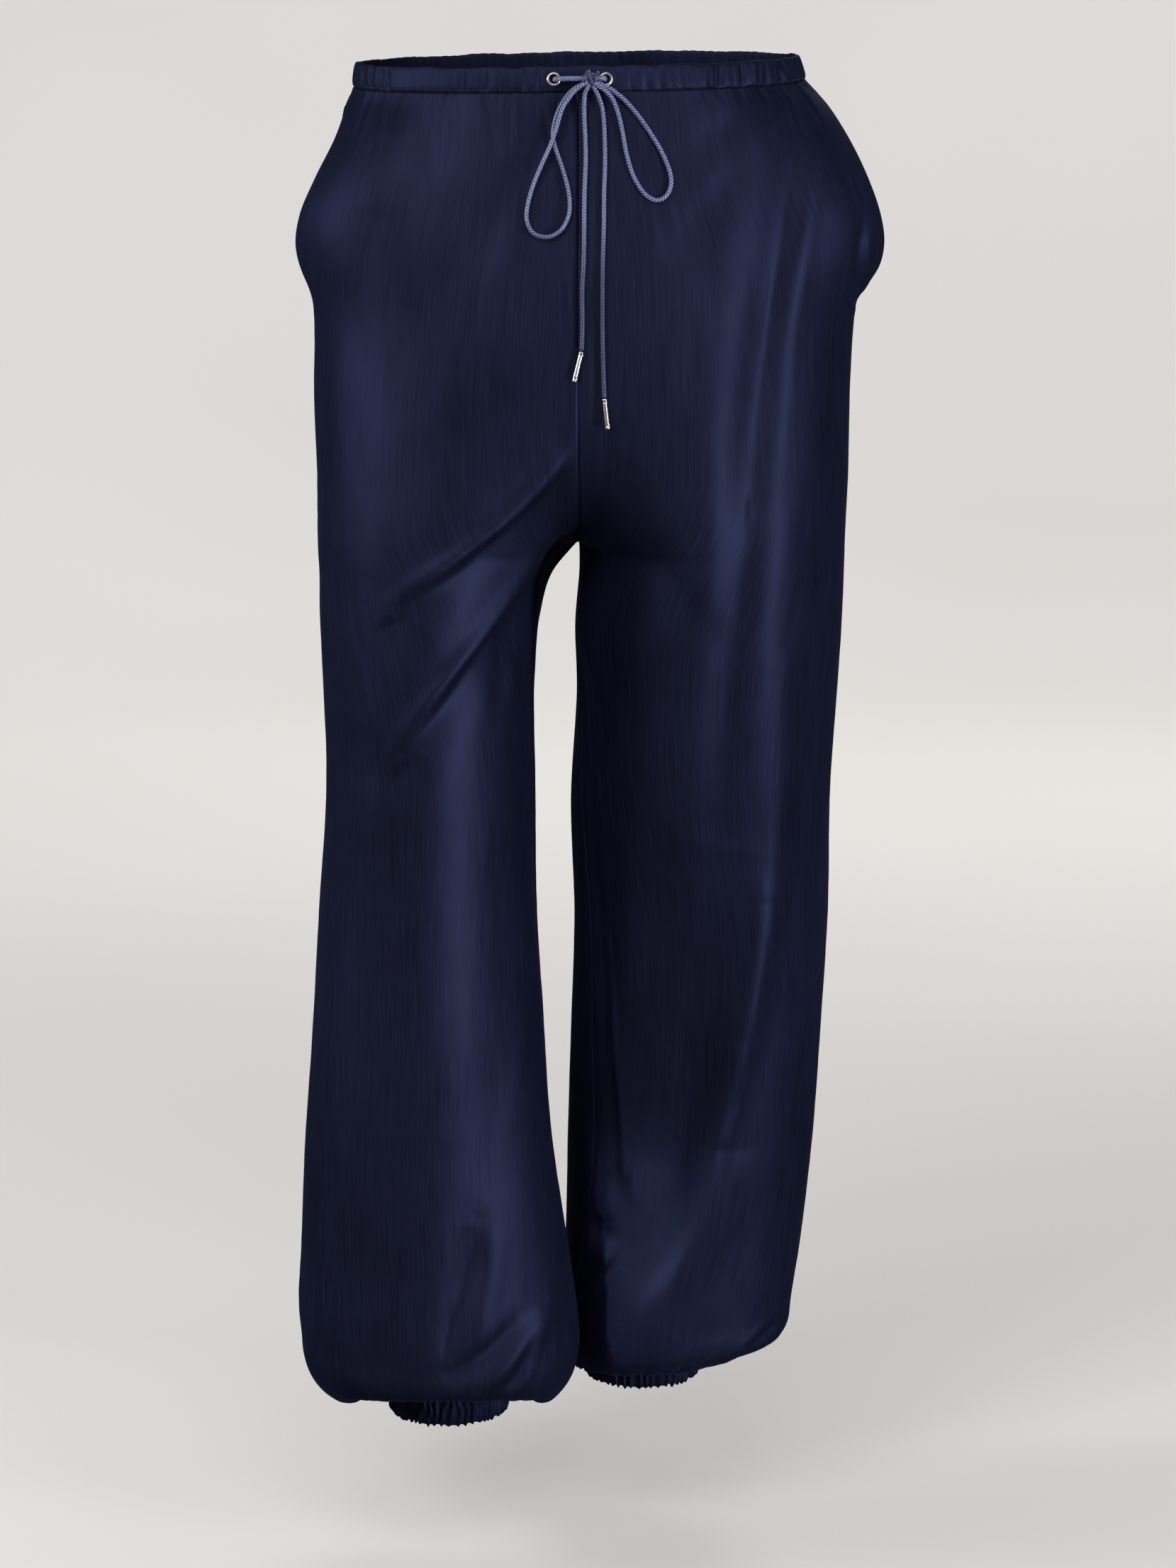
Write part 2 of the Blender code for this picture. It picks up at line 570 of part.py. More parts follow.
def make_panel(leg, panel, normals, finish):
    # A wall of satin: gathered outer skin, plain inner skin, and closed edges.
    name = f"{panel}_{leg}"
    mesh = bmesh.new()
    outer, inner = [], []
    for row in range(panel_rows()):
        gathered = row <= GATHERED_TOP_ROWS or row > panel_rows() - 1 - GATHERED_HEM_ROWS
        columns = GATHER_COLUMNS if gathered else PANEL_COLUMNS
        outer_row, inner_row = [], []
        for col in range(columns + 1):
            share = col / columns
            place = share * PANEL_COLUMNS
            left = min(int(place), PANEL_COLUMNS - 1)
            normal = normals[row, left] * (left + 1 - place) + normals[row, left + 1] * (place - left)
            normal = normal / np.linalg.norm(normal)
            point = body_point(leg, panel, row, share, edge_nudge(share))
            if share == 0 and row <= TORSO_ROWS:
                point[0] = (SEAM_GAP / 2) * (1 if leg == "left" else -1)
            push = fold_depth(name, point) * fold_fade(point, row, share)
            outer_row.append(mesh.verts.new(point + normal * (gather_push(row, share, point) - push)))
            if columns == PANEL_COLUMNS or col % 2 == 0 or row == panel_rows() - 1:
                inner_row.append(mesh.verts.new(point - normal * (WALL + push)))
        outer.append(outer_row)
        inner.append(inner_row)
    for above, below in zip(outer, outer[1:]):
        zip_rows(mesh, above, below, False)
    for above, below in zip(inner, inner[1:]):
        zip_rows(mesh, above, below, True)
    zip_rows(mesh, inner[0], outer[0], False)
    zip_rows(mesh, outer[-1], inner[-1], False)
    for edge, flip in ((0, False), (-1, True)):
        zip_rows(mesh, [row[edge] for row in outer], [row[edge] for row in inner], flip)
    return make_object(name, mesh, finish)


def ring_wall(name, loops, finish):
    # A closed band from loops of points: outer loops from the top down, then inner ones going up.
    mesh = bmesh.new()
    rows = [[mesh.verts.new(point) for point in loop] for loop in loops]
    for row in rows:
        row.append(row[0])
    for above, below in zip(rows, rows[1:] + rows[:1]):
        zip_rows(mesh, above, below, False)
    return make_object(name, mesh, finish)


def waist_loop(height, count, push):
    # The waist's outline at a height, from the centre front round by the wearer's left.
    lines = []
    for leg, turn in (("left", 1), ("right", -1)):
        front = half_section(leg, "front", height) * (turn, 1)
        back = half_section(leg, "back", height)[::-1] * (turn, 1)
        lines.append(np.vstack([front[:-1], back]))
    loop = np.vstack([lines[0][:-1], lines[1][::-1]])
    total = run_length(loop)
    points = []
    for index in range(count):
        at = total * index / count
        point = along(loop, at)
        ahead = along(loop, at + MM) - along(loop, at - MM)
        normal = np.array([ahead[1], -ahead[0]]) / np.linalg.norm(ahead)
        flat = point + normal * push(index / count, point)
        points.append(tilt(np.array([flat[0], flat[1], height])))
    return points


def make_casing(finish):
    # Folded strip round the waist: ruched outside, plain inside, with a hole under each eyelet.
    columns = CASING_GATHERS * 4

    def ruche(bulge):
        def push(share, point):
            ruched = min(max((abs(point[0]) - FLAT_FRONT) / FLAT_FADE, 0.0), 1.0)
            if point[1] > 0:
                ruched = 1.0
            return bulge + math.cos(2 * math.pi * CASING_GATHERS * share) * CASING_GATHER_DEPTH * ruched

        return push

    outer = (
        (0.0, 0.3 * CASING_BULGE),
        (-0.3 * CASING_HEIGHT, CASING_BULGE),
        (-0.7 * CASING_HEIGHT, CASING_BULGE),
        (-CASING_HEIGHT, 0.0),
    )
    loops = [waist_loop(height, columns, ruche(bulge)) for height, bulge in outer]
    plain = PANEL_COLUMNS * 4
    for height in (-CASING_HEIGHT, 0.0):
        loops.append(waist_loop(height, plain, lambda share, point: CASING_GATHER_DEPTH - CASING_WALL))
    casing = ring_wall("waist_casing", loops, finish)
    for side, offset in EYELET_OFFSETS.items():
        cutter = make_cutter(f"eyelet_hole_{side}", offset)
        cut = casing.modifiers.new("eyelet hole " + side, "BOOLEAN")
        cut.object = cutter
        cut.operation = "DIFFERENCE"
        cut.solver = "EXACT"
    return casing


def eyelet_place(offset):
    # Centre of an eyelet on the casing's face, and the turn that faces it outwards.
    loop = waist_loop(-CASING_HEIGHT / 2, WAIST_STEPS, lambda share, point: CASING_BULGE)
    near = min((point for point in loop if point[1] < 0), key=lambda point: abs(point[0] - offset))
    turn = math.atan2(offset, WAIST_FRONT_RADIUS)
    return Vector((offset, near[1], EYELET_HEIGHT)), turn


def make_cutter(name, offset):
    place, turn = eyelet_place(offset)
    radius = EYELET_HOLE / 2 + EYELET_BARREL_WALL + SEAM_GAP
    mesh = bmesh.new()
    bmesh.ops.create_cone(
        mesh, cap_ends=True, segments=EYELET_STEPS, radius1=radius, radius2=radius, depth=CUTTER_LENGTH
    )
    data = bpy.data.meshes.new(name)
    mesh.to_mesh(data)
    mesh.free()
    cutter = bpy.data.objects.new(name, data)
    CUTTERS.objects.link(cutter)
    cutter.location = place
    cutter.rotation_euler = (math.pi / 2 - EYELET_LEAN, 0, turn)
    cutter.hide_render = True
    cutter.display_type = "WIRE"
    return cutter


def make_eyelet(side, offset, finish):
    # Turned metal ring: a rounded flange on the casing's face and a barrel through its hole.
    place, turn = eyelet_place(offset)
    hole = EYELET_HOLE / 2
    barrel = hole + EYELET_BARREL_WALL
    rim = EYELET_OUTER / 2
    middle = (hole + rim) / 2
    face = EYELET_CLEAR
    profile = (
        (hole, EYELET_FLANGE * 0.6 + face),
        (middle - EYELET_CREST, EYELET_FLANGE + face),
        (middle + EYELET_CREST, EYELET_FLANGE + face),
        (rim, EYELET_FLANGE * 0.5 + face),
        (rim, face),
        (barrel, face),
        (barrel, -EYELET_BARREL_LENGTH),
        (hole, -EYELET_BARREL_LENGTH),
    )
    mesh = bmesh.new()
    corners = [mesh.verts.new((radius, 0, height)) for radius, height in profile]
    for start, end in zip(corners, corners[1:] + corners[:1]):
        mesh.edges.new((start, end))
    data = bpy.data.meshes.new(f"eyelet_{side}")
    mesh.to_mesh(data)
    mesh.free()
    made = bpy.data.objects.new(f"eyelet_{side}", data)
    PARTS.objects.link(made)
    turned = made.modifiers.new("turned ring", "SCREW")
    turned.steps = turned.render_steps = EYELET_STEPS
    turned.use_merge_vertices = True
    turned.merge_threshold = 0.00001
    made.location = place
    made.rotation_euler = (math.pi / 2 - EYELET_LEAN, 0, turn)
    data.materials.append(finish)
    return made


def make_cuff(leg, finish):
    # Gathered elastic band round the ankle, just inside the turned-under leg.
    count = CUFF_GATHERS * 4

    def loop(points, grow, height, wave):
        made = []
        for index in range(points):
            share = 2 * index / points
            panel = "front" if share <= 1 else "back"
            ripple = wave * math.cos(2 * math.pi * CUFF_GATHERS * index / points)
            point = cuff_point(leg, panel, share if share <= 1 else 2 - share, grow + ripple)
            made.append((point[0], point[1], height))
        return made

    # Growth outwards, depth below the band's top, share of the gather depth.
    band = (
        (-CUFF_BULGE, 0.0, 0.0),
        (0.0, -0.25 * CUFF_HEIGHT, 0.0),
        (CUFF_BULGE, -0.45 * CUFF_HEIGHT, 1.0),
        (-CUFF_BULGE, -CUFF_HEIGHT, 0.6),
    )
    loops = [loop(count, grow, CUFF_TOP + low, CUFF_GATHER_DEPTH * wave) for grow, low, wave in band]
    for low in (-CUFF_HEIGHT, 0.0):
        loops.append(loop(PANEL_COLUMNS * 2, -CUFF_WALL - CUFF_BULGE, CUFF_TOP + low, 0.0))
    return ring_wall(f"cuff_{leg}", loops, finish)


def make_pocket(leg, fields, finish):
    # Pocket bag: one sheet that lies behind the front panel, turns, and comes back to the back panel.
    mesh = bmesh.new()
    rows = []
    depth = WALL + POCKET_LAYER + POCKET_WALL / 2
    for row in range(POCKET_ROWS + 1):
        narrow = max(row - MOUTH_ROWS[1], 0) / (POCKET_ROWS - MOUTH_ROWS[1])
        bag = POCKET_BAG * (1 - POCKET_NARROWS * narrow)
        front = []
        for col in range(PANEL_COLUMNS, PANEL_COLUMNS - POCKET_COLUMNS - 1, -1):
            point = body_point(leg, "front", row, col / PANEL_COLUMNS)
            normal = fields["front"][row, col]
            push = fold_depth(f"front_{leg}", point) * fold_fade(point, row, col / PANEL_COLUMNS)
            front.append((point - normal * (depth + push), normal))
        edge = body_point(leg, "back", row, 1.0)
        away = (fields["back"][row, -1] + fields["back"][row, -2]) / 2
        edge = edge - away / np.linalg.norm(away) * (depth + POCKET_EDGE_CLEAR)
        in_mouth = MOUTH_ROWS[0] <= row <= MOUTH_ROWS[1]
        gape = edge - (front[0][0] - front[0][1] * bag) if in_mouth else np.zeros(3)
        back = []
        for index, (point, normal) in enumerate(front):
            back.append(point - normal * bag + gape * (1 - index / POCKET_COLUMNS) ** POCKET_CLOSING)
        forward = front[-1][0] - front[-2][0]
        tip = (front[-1][0] + back[-1]) / 2 + forward / np.linalg.norm(forward) * bag * POCKET_TIP
        line = [point for point, _ in front] + [tip] + back[::-1]
        rows.append([mesh.verts.new(point) for point in line])
    for above, below in zip(rows, rows[1:]):
        for index in range(len(above) - 1):
            mesh.faces.new((above[index], above[index + 1], below[index + 1], below[index]))
    pocket = make_object(f"pocket_{leg}", mesh, finish)
    wall = pocket.modifiers.new("pocketing", "SOLIDIFY")
    wall.thickness = POCKET_WALL
    wall.offset = 0
    return pocket


def smooth_route(route):
    # Even points along a smooth curve through a route's own points.
    points = np.array(route, float) * MM
    padded = np.vstack([2 * points[0] - points[1], points, 2 * points[-1] - points[-2]])
    share = np.linspace(0, 1, ROUTE_STEPS, endpoint=False)[:, None]
    fine = []
    for a, b, c, d in zip(padded, padded[1:], padded[2:], padded[3:]):
        fine.append(0.5 * (2 * b + (c - a) * share + (2 * a - 5 * b + 4 * c - d) * share**2
                           + (3 * b - a - 3 * c + d) * share**3))
    fine = np.vstack(fine + [[points[-1]]])
    total = run_length(fine)
    count = max(round(total / CORD_STEP), 3)
    return [along(fine, total * index / count) for index in range(count + 1)]


def make_tube(name, points, width, finish):
    curve = bpy.data.curves.new(name, "CURVE")
    curve.dimensions = "3D"
    curve.bevel_depth = width / 2
    curve.bevel_resolution = 2
    curve.use_fill_caps = True
    spline = curve.splines.new("POLY")
    spline.points.add(len(points) - 1)
    for target, point in zip(spline.points, points):
        target.co = (*point, 1)
    made = bpy.data.objects.new(name, curve)
    PARTS.objects.link(made)
    curve.materials.append(finish)
    return made


def make_knot(finish):
    mesh = bmesh.new()
    bmesh.ops.create_uvsphere(mesh, u_segments=12, v_segments=7, radius=1)
    made = make_object("cord_knot", mesh, finish)
    centre = np.array(KNOT_CENTRE) * MM
    for vertex in made.data.vertices:
        for axis in range(3):
            vertex.co[axis] = vertex.co[axis] * KNOT_HALF_SIZES[axis] * MM + centre[axis]
    return made


def make_finish(name):
    red, green, blue, roughness, metallic = FINISHES[name]
    finish = bpy.data.materials.new(name)
    finish.use_nodes = True
    shader = finish.node_tree.nodes["Principled BSDF"]
    colour = [(value / 255) ** 2.2 for value in (red, green, blue)]
    shader.inputs["Base Color"].default_value = (*colour, 1)
    shader.inputs["Roughness"].default_value = roughness
    shader.inputs["Metallic"].default_value = metallic
    return finish


def make_collection(name):
    made = bpy.data.collections.new(name)
    bpy.context.scene.collection.children.link(made)
    return made


def build():
    finishes = {name: make_finish(name) for name in FINISHES}
    for leg in LEGS:
        fields = {
            panel: smooth_normals(leg, panel, panel_rows(), PANEL_COLUMNS) for panel in ("front", "back")
        }
        match_seams(fields)
        for panel, normals in fields.items():
            make_panel(leg, panel, normals, finishes["satin"])
        make_cuff(leg, finishes["satin"])
        make_pocket(leg, fields, finishes["pocketing"])
    make_casing(finishes["satin"])
    for side, offset in EYELET_OFFSETS.items():
        make_eyelet(side, offset, finishes["nickel"])
        make_tube(f"aglet_{side}", np.array(AGLET_AXES[side]) * MM, AGLET, finishes["nickel"])
    for name, route in CORD_ROUTES.items():
        make_tube(name, smooth_route(route), CORD, finishes["cord"])
    make_knot(finishes["cord"])


for old in list(bpy.data.objects):
    bpy.data.objects.remove(old, do_unlink=True)
PARTS = make_collection("jogger trousers")
CUTTERS = make_collection("cutters")
build()
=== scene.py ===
# Jogger trousers in navy satin, with a gathered drawstring waist and gathered ankle cuffs.
# Metres, +Z up, the front faces -Y, the wearer's left is at +X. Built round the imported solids.
import functools
import math

import bmesh
import bpy
import numpy as np
from mathutils import Matrix, Vector


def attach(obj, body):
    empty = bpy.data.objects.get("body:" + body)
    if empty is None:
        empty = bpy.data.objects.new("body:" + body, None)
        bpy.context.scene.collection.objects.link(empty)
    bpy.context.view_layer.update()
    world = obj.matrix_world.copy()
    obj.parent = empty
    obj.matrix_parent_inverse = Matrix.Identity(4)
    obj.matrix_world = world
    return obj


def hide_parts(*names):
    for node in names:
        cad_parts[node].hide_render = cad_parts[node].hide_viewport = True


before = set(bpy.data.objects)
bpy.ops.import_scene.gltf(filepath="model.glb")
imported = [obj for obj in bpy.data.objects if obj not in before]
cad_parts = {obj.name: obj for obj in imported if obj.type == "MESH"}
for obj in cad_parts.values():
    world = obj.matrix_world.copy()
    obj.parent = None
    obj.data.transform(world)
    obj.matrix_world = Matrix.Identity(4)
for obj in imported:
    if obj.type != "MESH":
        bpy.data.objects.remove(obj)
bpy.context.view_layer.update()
mm = 0.001
print("frame loaded:", len(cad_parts), "nodes")


# The camera stands in front of the waist and looks slightly down, as in the photograph.
cameraView = {
    "place": (0.00655, -3.0, 0.05),
    "degreesDown": 10.3197,
    "lens": 99.277,
    "sensorHeight": 36.0,
}


def makeCamera(view):
    data = bpy.data.cameras.new("camera")
    data.lens = view["lens"]
    data.sensor_fit = "VERTICAL"
    data.sensor_height = view["sensorHeight"]
    camera = bpy.data.objects.new("camera", data)
    camera.location = view["place"]
    camera.rotation_euler = (math.radians(90 - view["degreesDown"]), 0, 0)
    bpy.context.scene.collection.objects.link(camera)
    bpy.context.scene.camera = camera


makeCamera(cameraView)


# Helpers for colours, nodes and meshes.
def linearColour(hexCode):
    parts = [int(hexCode[i:i + 2], 16) / 255 for i in (1, 3, 5)]
    parts = [p / 12.92 if p <= 0.04045 else ((p + 0.055) / 1.055) ** 2.4 for p in parts]
    return (*parts, 1.0)


def feedNode(tree, node, links):
    # Fills inputs, by name or number, each from a socket, a node's first output, a hex colour or a value.
    for key, value in links.items():
        if isinstance(value, bpy.types.Node):
            value = value.outputs[0]
        if isinstance(value, bpy.types.NodeSocket):
            tree.links.new(value, node.inputs[key])
        else:
            coded = isinstance(value, str) and value.startswith("#")
            node.inputs[key].default_value = linearColour(value) if coded else value
    return node


def addNode(tree, kind, links=None, **settings):
    node = tree.nodes.new(kind)
    for name, value in settings.items():
        setattr(node, name, value)
    return feedNode(tree, node, links or {})


def newMaterial(name):
    material = bpy.data.materials.new(name)
    material.use_nodes = True
    return material, material.node_tree, material.node_tree.nodes["Principled BSDF"]


def newObject(name, data, *materials):
    made = bpy.data.objects.new(name, data)
    bpy.context.scene.collection.objects.link(made)
    for material in materials:
        data.materials.append(material)
    return made


# X grows towards the wearer's left.
sideSign = {"left": 1, "right": -1}


def dressNodes(made, slot, *nodes):
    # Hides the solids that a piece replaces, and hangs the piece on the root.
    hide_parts(*nodes)
    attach(made, "root")


def gridUv(across, down):
    return np.stack(np.broadcast_arrays(across[None, :], down[:, None]), axis=-1)


def gridMesh(name, points, uv, wrapColumns=False, wrapRows=False, flip=False, caps=False):
    # A mesh of quads from rows and columns of points. A wrapped side needs one more line in uv.
    rows, cols = points.shape[:2]
    row, col = np.mgrid[0:rows if wrapRows else rows - 1, 0:cols if wrapColumns else cols - 1]
    corners = [(row, col), (row, col + 1), (row + 1, col + 1), (row + 1, col)]
    quads = np.stack([r % rows * cols + c % cols for r, c in corners], axis=-1).reshape(-1, 4)
    places = np.stack([uv[r, c] for r, c in corners], axis=-2).reshape(-1, 4, 2)
    if flip:
        quads, places = quads[:, ::-1], places[:, ::-1]
    faces, places = quads.tolist(), places.reshape(-1, 2)
    if caps:
        last = (rows - 1) * cols
        ends = [list(range(cols))[::-1], list(range(last, last + cols))]
        faces += [end[::-1] if flip else end for end in ends]
        places = np.vstack([places, np.zeros((2 * cols, 2))])
    data = bpy.data.meshes.new(name)
    data.from_pydata(points.reshape(-1, 3).tolist(), [], faces)
    layer = data.uv_layers.new(name="cloth")
    layer.data.foreach_set("uv", places.astype(np.float32).ravel())
    data.shade_smooth()
    return data


def smoothStep(value):
    value = np.clip(value, 0.0, 1.0)
    return value * value * (3 - 2 * value)


def softNoise(x, y, seed, size=64, shift=(17.3, 29.7)):
    # Smooth random heights from -1 to 1 on a lattice of one unit.
    lattice = np.random.default_rng(seed).uniform(-1, 1, (size, size))
    x, y = x + shift[0], y + shift[1]
    column, row = np.floor(x).astype(int), np.floor(y).astype(int)
    fx, fy = smoothStep(x - column), smoothStep(y - row)
    corner = [lattice[(row + dy) % size, (column + dx) % size] for dy in (0, 1) for dx in (0, 1)]
    top = corner[0] * (1 - fx) + corner[1] * fx
    low = corner[2] * (1 - fx) + corner[3] * fx
    return top * (1 - fy) + low * fy


def curveBetween(a, b, c, d, share):
    # A smooth curve from b to c, with a before it and d after it.
    return 0.5 * (2 * b + (c - a) * share + (2 * a - 5 * b + 4 * c - d) * share**2
                  + (3 * b - a - 3 * c + d) * share**3)


def lineThrough(points, steps):
    # Close points along a smooth curve through a route's own points.
    points = np.array(points, float)
    padded = np.vstack([2 * points[0] - points[1], points, 2 * points[-1] - points[-2]])
    share = np.linspace(0, 1, steps, endpoint=False)[:, None]
    fine = [curveBetween(*four, share) for four in zip(padded, padded[1:], padded[2:], padded[3:])]
    return np.vstack(fine + [points[-1:]])


def lengthOf(line):
    return float(np.linalg.norm(np.diff(line, axis=0), axis=1).sum())


def marksAlong(line):
    # Length of the line up to each of its points.
    return np.concatenate([[0], np.cumsum(np.linalg.norm(np.diff(line, axis=0), axis=1))])


def evenLine(line, count):
    marks = marksAlong(line)
    even = np.linspace(0, marks[-1], count)
    return np.stack([np.interp(even, marks, line[:, axis]) for axis in range(line.shape[1])], axis=1)


def turned(radius, height, steps):
    # Points of a form turned about Z, with its radius and height down the profile.
    angle = np.linspace(0, 2 * np.pi, steps, endpoint=False)[None, :]
    radius, height = radius[:, None], height[:, None]
    return np.stack([radius * np.cos(angle), radius * np.sin(angle), height + 0 * angle], axis=-1)


# The form of the legs and seat. It repeats the values of the solids, and reads them more finely.
bodyForm = {
    "crotchHeight": -325 * mm,
    "crotchDepth": 12 * mm,
    "crotchAngle": math.radians(75),
    "crotchOpens": 30 * mm,
    "riseCurve": {"front": 105 * mm, "back": 140 * mm},
    "riseReach": 0.7,
    "riseSteps": 240,
    "roundness": 0.56,
    "torsoRun": 245 * mm,
    "gainLimit": 110 * mm,
    "gainFade": 150 * mm,
    "gainCrowding": 3,
    "mouthTop": -24 * mm,
    "mouthEnd": -152 * mm,
    "mouthEdgeEnd": -160 * mm,
    "mouthGape": {"front": -26 * mm, "back": 6 * mm},
    "tilt": (0.016, 0.034, 8 * mm),
    "tiltFade": 200 * mm,
    "casingHeight": 16 * mm,
    "seamGap": 0.3 * mm,
    "torsoRows": 12,
    "hemStart": -888 * mm,
    "hemLeadIn": 14 * mm,
    "arcSteps": 90,
    "runSamples": 260,
    # Heights of the sections: from, to and step in mm, and closer ones over the bend at the crotch.
    "levels": (-912, 22, 2),
    "bendLevels": 120,
    "bendReach": 140 * mm,
}

# Centre line of the torso, in mm: height, front, back.
centreTable = (
    (20, -106, 99), (-16, -108.5, 101), (-50, -113, 106), (-100, -120, 117),
    (-150, -125, 128), (-200, -127, 134), (-250, -127, 133), (-330, -127, 128),
)

# Each leg with its half of the torso, in mm outwards from the centre plane.
legColumns = (
    "height", "mouth", "side", "sideDepth", "crest", "front", "seat", "back", "inner",
    "innerDepth", "inseam",
)
legTables = {
    "right": (
        (20, 152, 152, 2, 20, -106, 25, 99, 0, 12, 0),
        (-16, 154, 154, 2, 20, -108.5, 25, 101, 0, 12, 0),
        (-26, 158, 159, 2, 22, -110, 28, 103, 0, 12, 0),
        (-48, 166, 164, 2, 25, -113, 35, 106, 0, 12, 0),
        (-75, 180, 168, 2, 28, -117, 42, 111, 0, 12, 0),
        (-100, 191, 172, 2, 30, -120, 50, 117, 0, 12, 0),
        (-121, 194, 175, 2, 34, -123, 55, 122, 0, 12, 0),
        (-138, 190, 178, 2, 37, -124.5, 58, 126, 0, 12, 0),
        (-156, 181.5, 181.5, 2, 40, -125.5, 60, 129, 0, 12, 0),
        (-184, 182, 182, 2, 48, -127, 64, 132, 0, 12, 0),
        (-223, 183, 183, 1, 62, -128, 72, 134, 0, 12, 0),
        (-263, 182, 182, 0, 76, -129, 80, 131, 0, 12, 0),
        (-300, 182, 182, -2, 90, -129, 88, 125, 0, 12, 0),
        (-325, 182, 182, -3, 97, -128, 92, 120, 1, 12, 0),
        (-345, 181, 181, -4, 100, -127, 94, 116, 17, 10, -2),
        (-372, 181, 181, -5, 103, -125, 97, 112, 26, 6, -6),
        (-421, 179, 179, -7, 105, -122, 100, 105, 31, 0, -10),
        (-500, 177, 177, -10, 105, -120, 103, 95, 30, -8, -14),
        (-580, 182, 182, -14, 106, -118, 104, 89, 29, -14, -14),
        (-660, 187, 187, -18, 106, -118, 105, 86, 24.5, -18, -14),
        (-745, 194, 194, -22, 106, -119, 106, 81, 19, -22, -12),
        (-828, 198, 198, -26, 104, -120, 103, 73, 7, -26, -8),
        (-869, 200, 200, -28, 101, -121, 100, 68, 1, -28, -4),
        (-890, 198, 198, -29, 99, -120, 98, 66, -1, -29, 0),
    ),
    "left": (
        (20, 152, 152, 2, 20, -106, 25, 99, 0, 12, 0),
        (-16, 155, 155, 2, 20, -108.5, 25, 101, 0, 12, 0),
        (-26, 165, 165, 2, 22, -110, 28, 103, 0, 12, 0),
        (-48, 181, 170, 2, 25, -113, 35, 106, 0, 12, 0),
        (-75, 196, 174.5, 2, 28, -117, 42, 111, 0, 12, 0),
        (-100, 206, 178, 2, 30, -120, 50, 117, 0, 12, 0),
        (-121, 209.5, 181, 2, 34, -123, 55, 122, 0, 12, 0),
        (-138, 205, 184, 2, 37, -124.5, 58, 126, 0, 12, 0),
        (-156, 188.5, 188.5, 2, 40, -125.5, 60, 129, 0, 12, 0),
        (-184, 188, 188, 3, 48, -127, 64, 132, 0, 12, 0),
        (-223, 187, 187, 3, 62, -128, 72, 134, 0, 12, 0),
        (-263, 187, 187, 3, 76, -128, 80, 132, 0, 12, 0),
        (-300, 186, 186, 4, 88, -127, 86, 129, 0, 12, 0),
        (-325, 185, 185, 5, 94, -125, 90, 127, 0, 12, 0),
        (-345, 185, 185, 6, 94, -123, 92, 126, 0, 12, 0),
        (-384, 184, 184, 8, 92, -118, 92, 124, -2.5, 12, 12),
        (-424, 182, 182, 12, 90, -111, 92, 122, -1, 12, 26),
        (-507, 178, 178, 18, 88, -98, 90, 121, -5, 13, 44),
        (-591, 178, 178, 26, 88, -84, 88, 124, -3, 20, 52),
        (-675, 174, 174, 34, 86, -70, 84, 128, -5, 28, 56),
        (-762, 169, 169, 42, 82, -54, 82, 132, -8, 38, 60),
        (-849, 160, 160, 50, 74, -40, 76, 138, -10.5, 48, 44),
        (-893, 154, 154, 53, 68, -34, 70, 141, -14, 52, 34),
        (-905, 153, 153, 54, 66, -33, 68, 142, -15, 53, 31),
    ),
}

# Blouson over each cuff: share of the way out to the leg, least distance and height in mm, and
# share of the lift.
hemTable = (
    (0.985, 0, -902, 0.1), (0.935, 0, -915, 0.3), (0.85, 15, -926, 0.55), (0.72, 14.5, -935.5, 0.8),
    (0.56, 12, -942, 1.0), (0.36, 8.5, -941, 1.0), (0.14, 4.8, -928, 0.6), (0.0, 0, -910, 0.0),
)
# Lift of the blouson's bottom in mm, at the inseam, the middle of the panel and the side.
hemLifts = {
    "front_right": (0, 24, 0), "back_right": (0, 0, 0), "front_left": (6, 17, 24), "back_left": (6, 8, 24),
}

# Ankle cuffs: centres outwards and in depth, in mm, then their ellipse and their gathers.
cuffForm = {
    "centres": {"right": (93, -30), "left": (46, 55)},
    "halfWidth": 41.5 * mm,
    "halfDepth": 45 * mm,
    "height": 38,
    "top": -906 * mm,
    "pitch": 5.2 * mm,
    "gatherDepth": 2.6 * mm,
    "unevenness": 2.4,
    "edgeWave": 1.1 * mm,
    "waveRate": 9,
    "waveSeed": 60,
    "seed": 11,
    "columns": 480,
    "profileSteps": 2,
    "cut": (0.36, 0.04),
}


@functools.lru_cache(maxsize=None)
def tableCurve(name, column):
    table = centreTable if name == "centre" else legTables[name]
    rows = np.array(table, float)[::-1] * mm
    return rows[:, 0], rows[:, column], np.gradient(rows[:, column], rows[:, 0])


def readTable(name, column, height):
    # Value of a column at any height, on a smooth curve through its rows.
    heights, values, slopes = tableCurve(name, column)
    place = np.clip(np.searchsorted(heights, height) - 1, 0, len(heights) - 2)
    span = heights[place + 1] - heights[place]
    share = np.clip((height - heights[place]) / span, 0.0, 1.0)
    turn = smoothStep(share)
    ends = slopes[place] * (1 - share) - slopes[place + 1] * share
    return values[place] + (values[place + 1] - values[place]) * turn + span * share * (1 - share) * ends


def legValue(leg, name, height):
    return readTable(leg, legColumns.index(name), height)


def riseDepth(panel, height):
    # Depth of the centre seam: straight down, then a quarter round to the crotch.
    straight = float(readTable("centre", 1 if panel == "front" else 2, height))
    above = (height - bodyForm["crotchHeight"]) / bodyForm["riseCurve"][panel]
    low = bodyForm["crotchDepth"]
    if above >= 1:
        return straight
    return low if above <= 0 else low + (straight - low) * math.sqrt(1 - (1 - above) ** 2)


def arcPoints(start, leave, arrive, end):
    share = np.linspace(0, 1, bodyForm["arcSteps"], endpoint=False)[:, None]
    rest = 1 - share
    parts = (rest**3, 3 * rest**2 * share, 3 * rest * share**2, share**3)
    return sum(part * np.array(point) for part, point in zip(parts, (start, leave, arrive, end)))


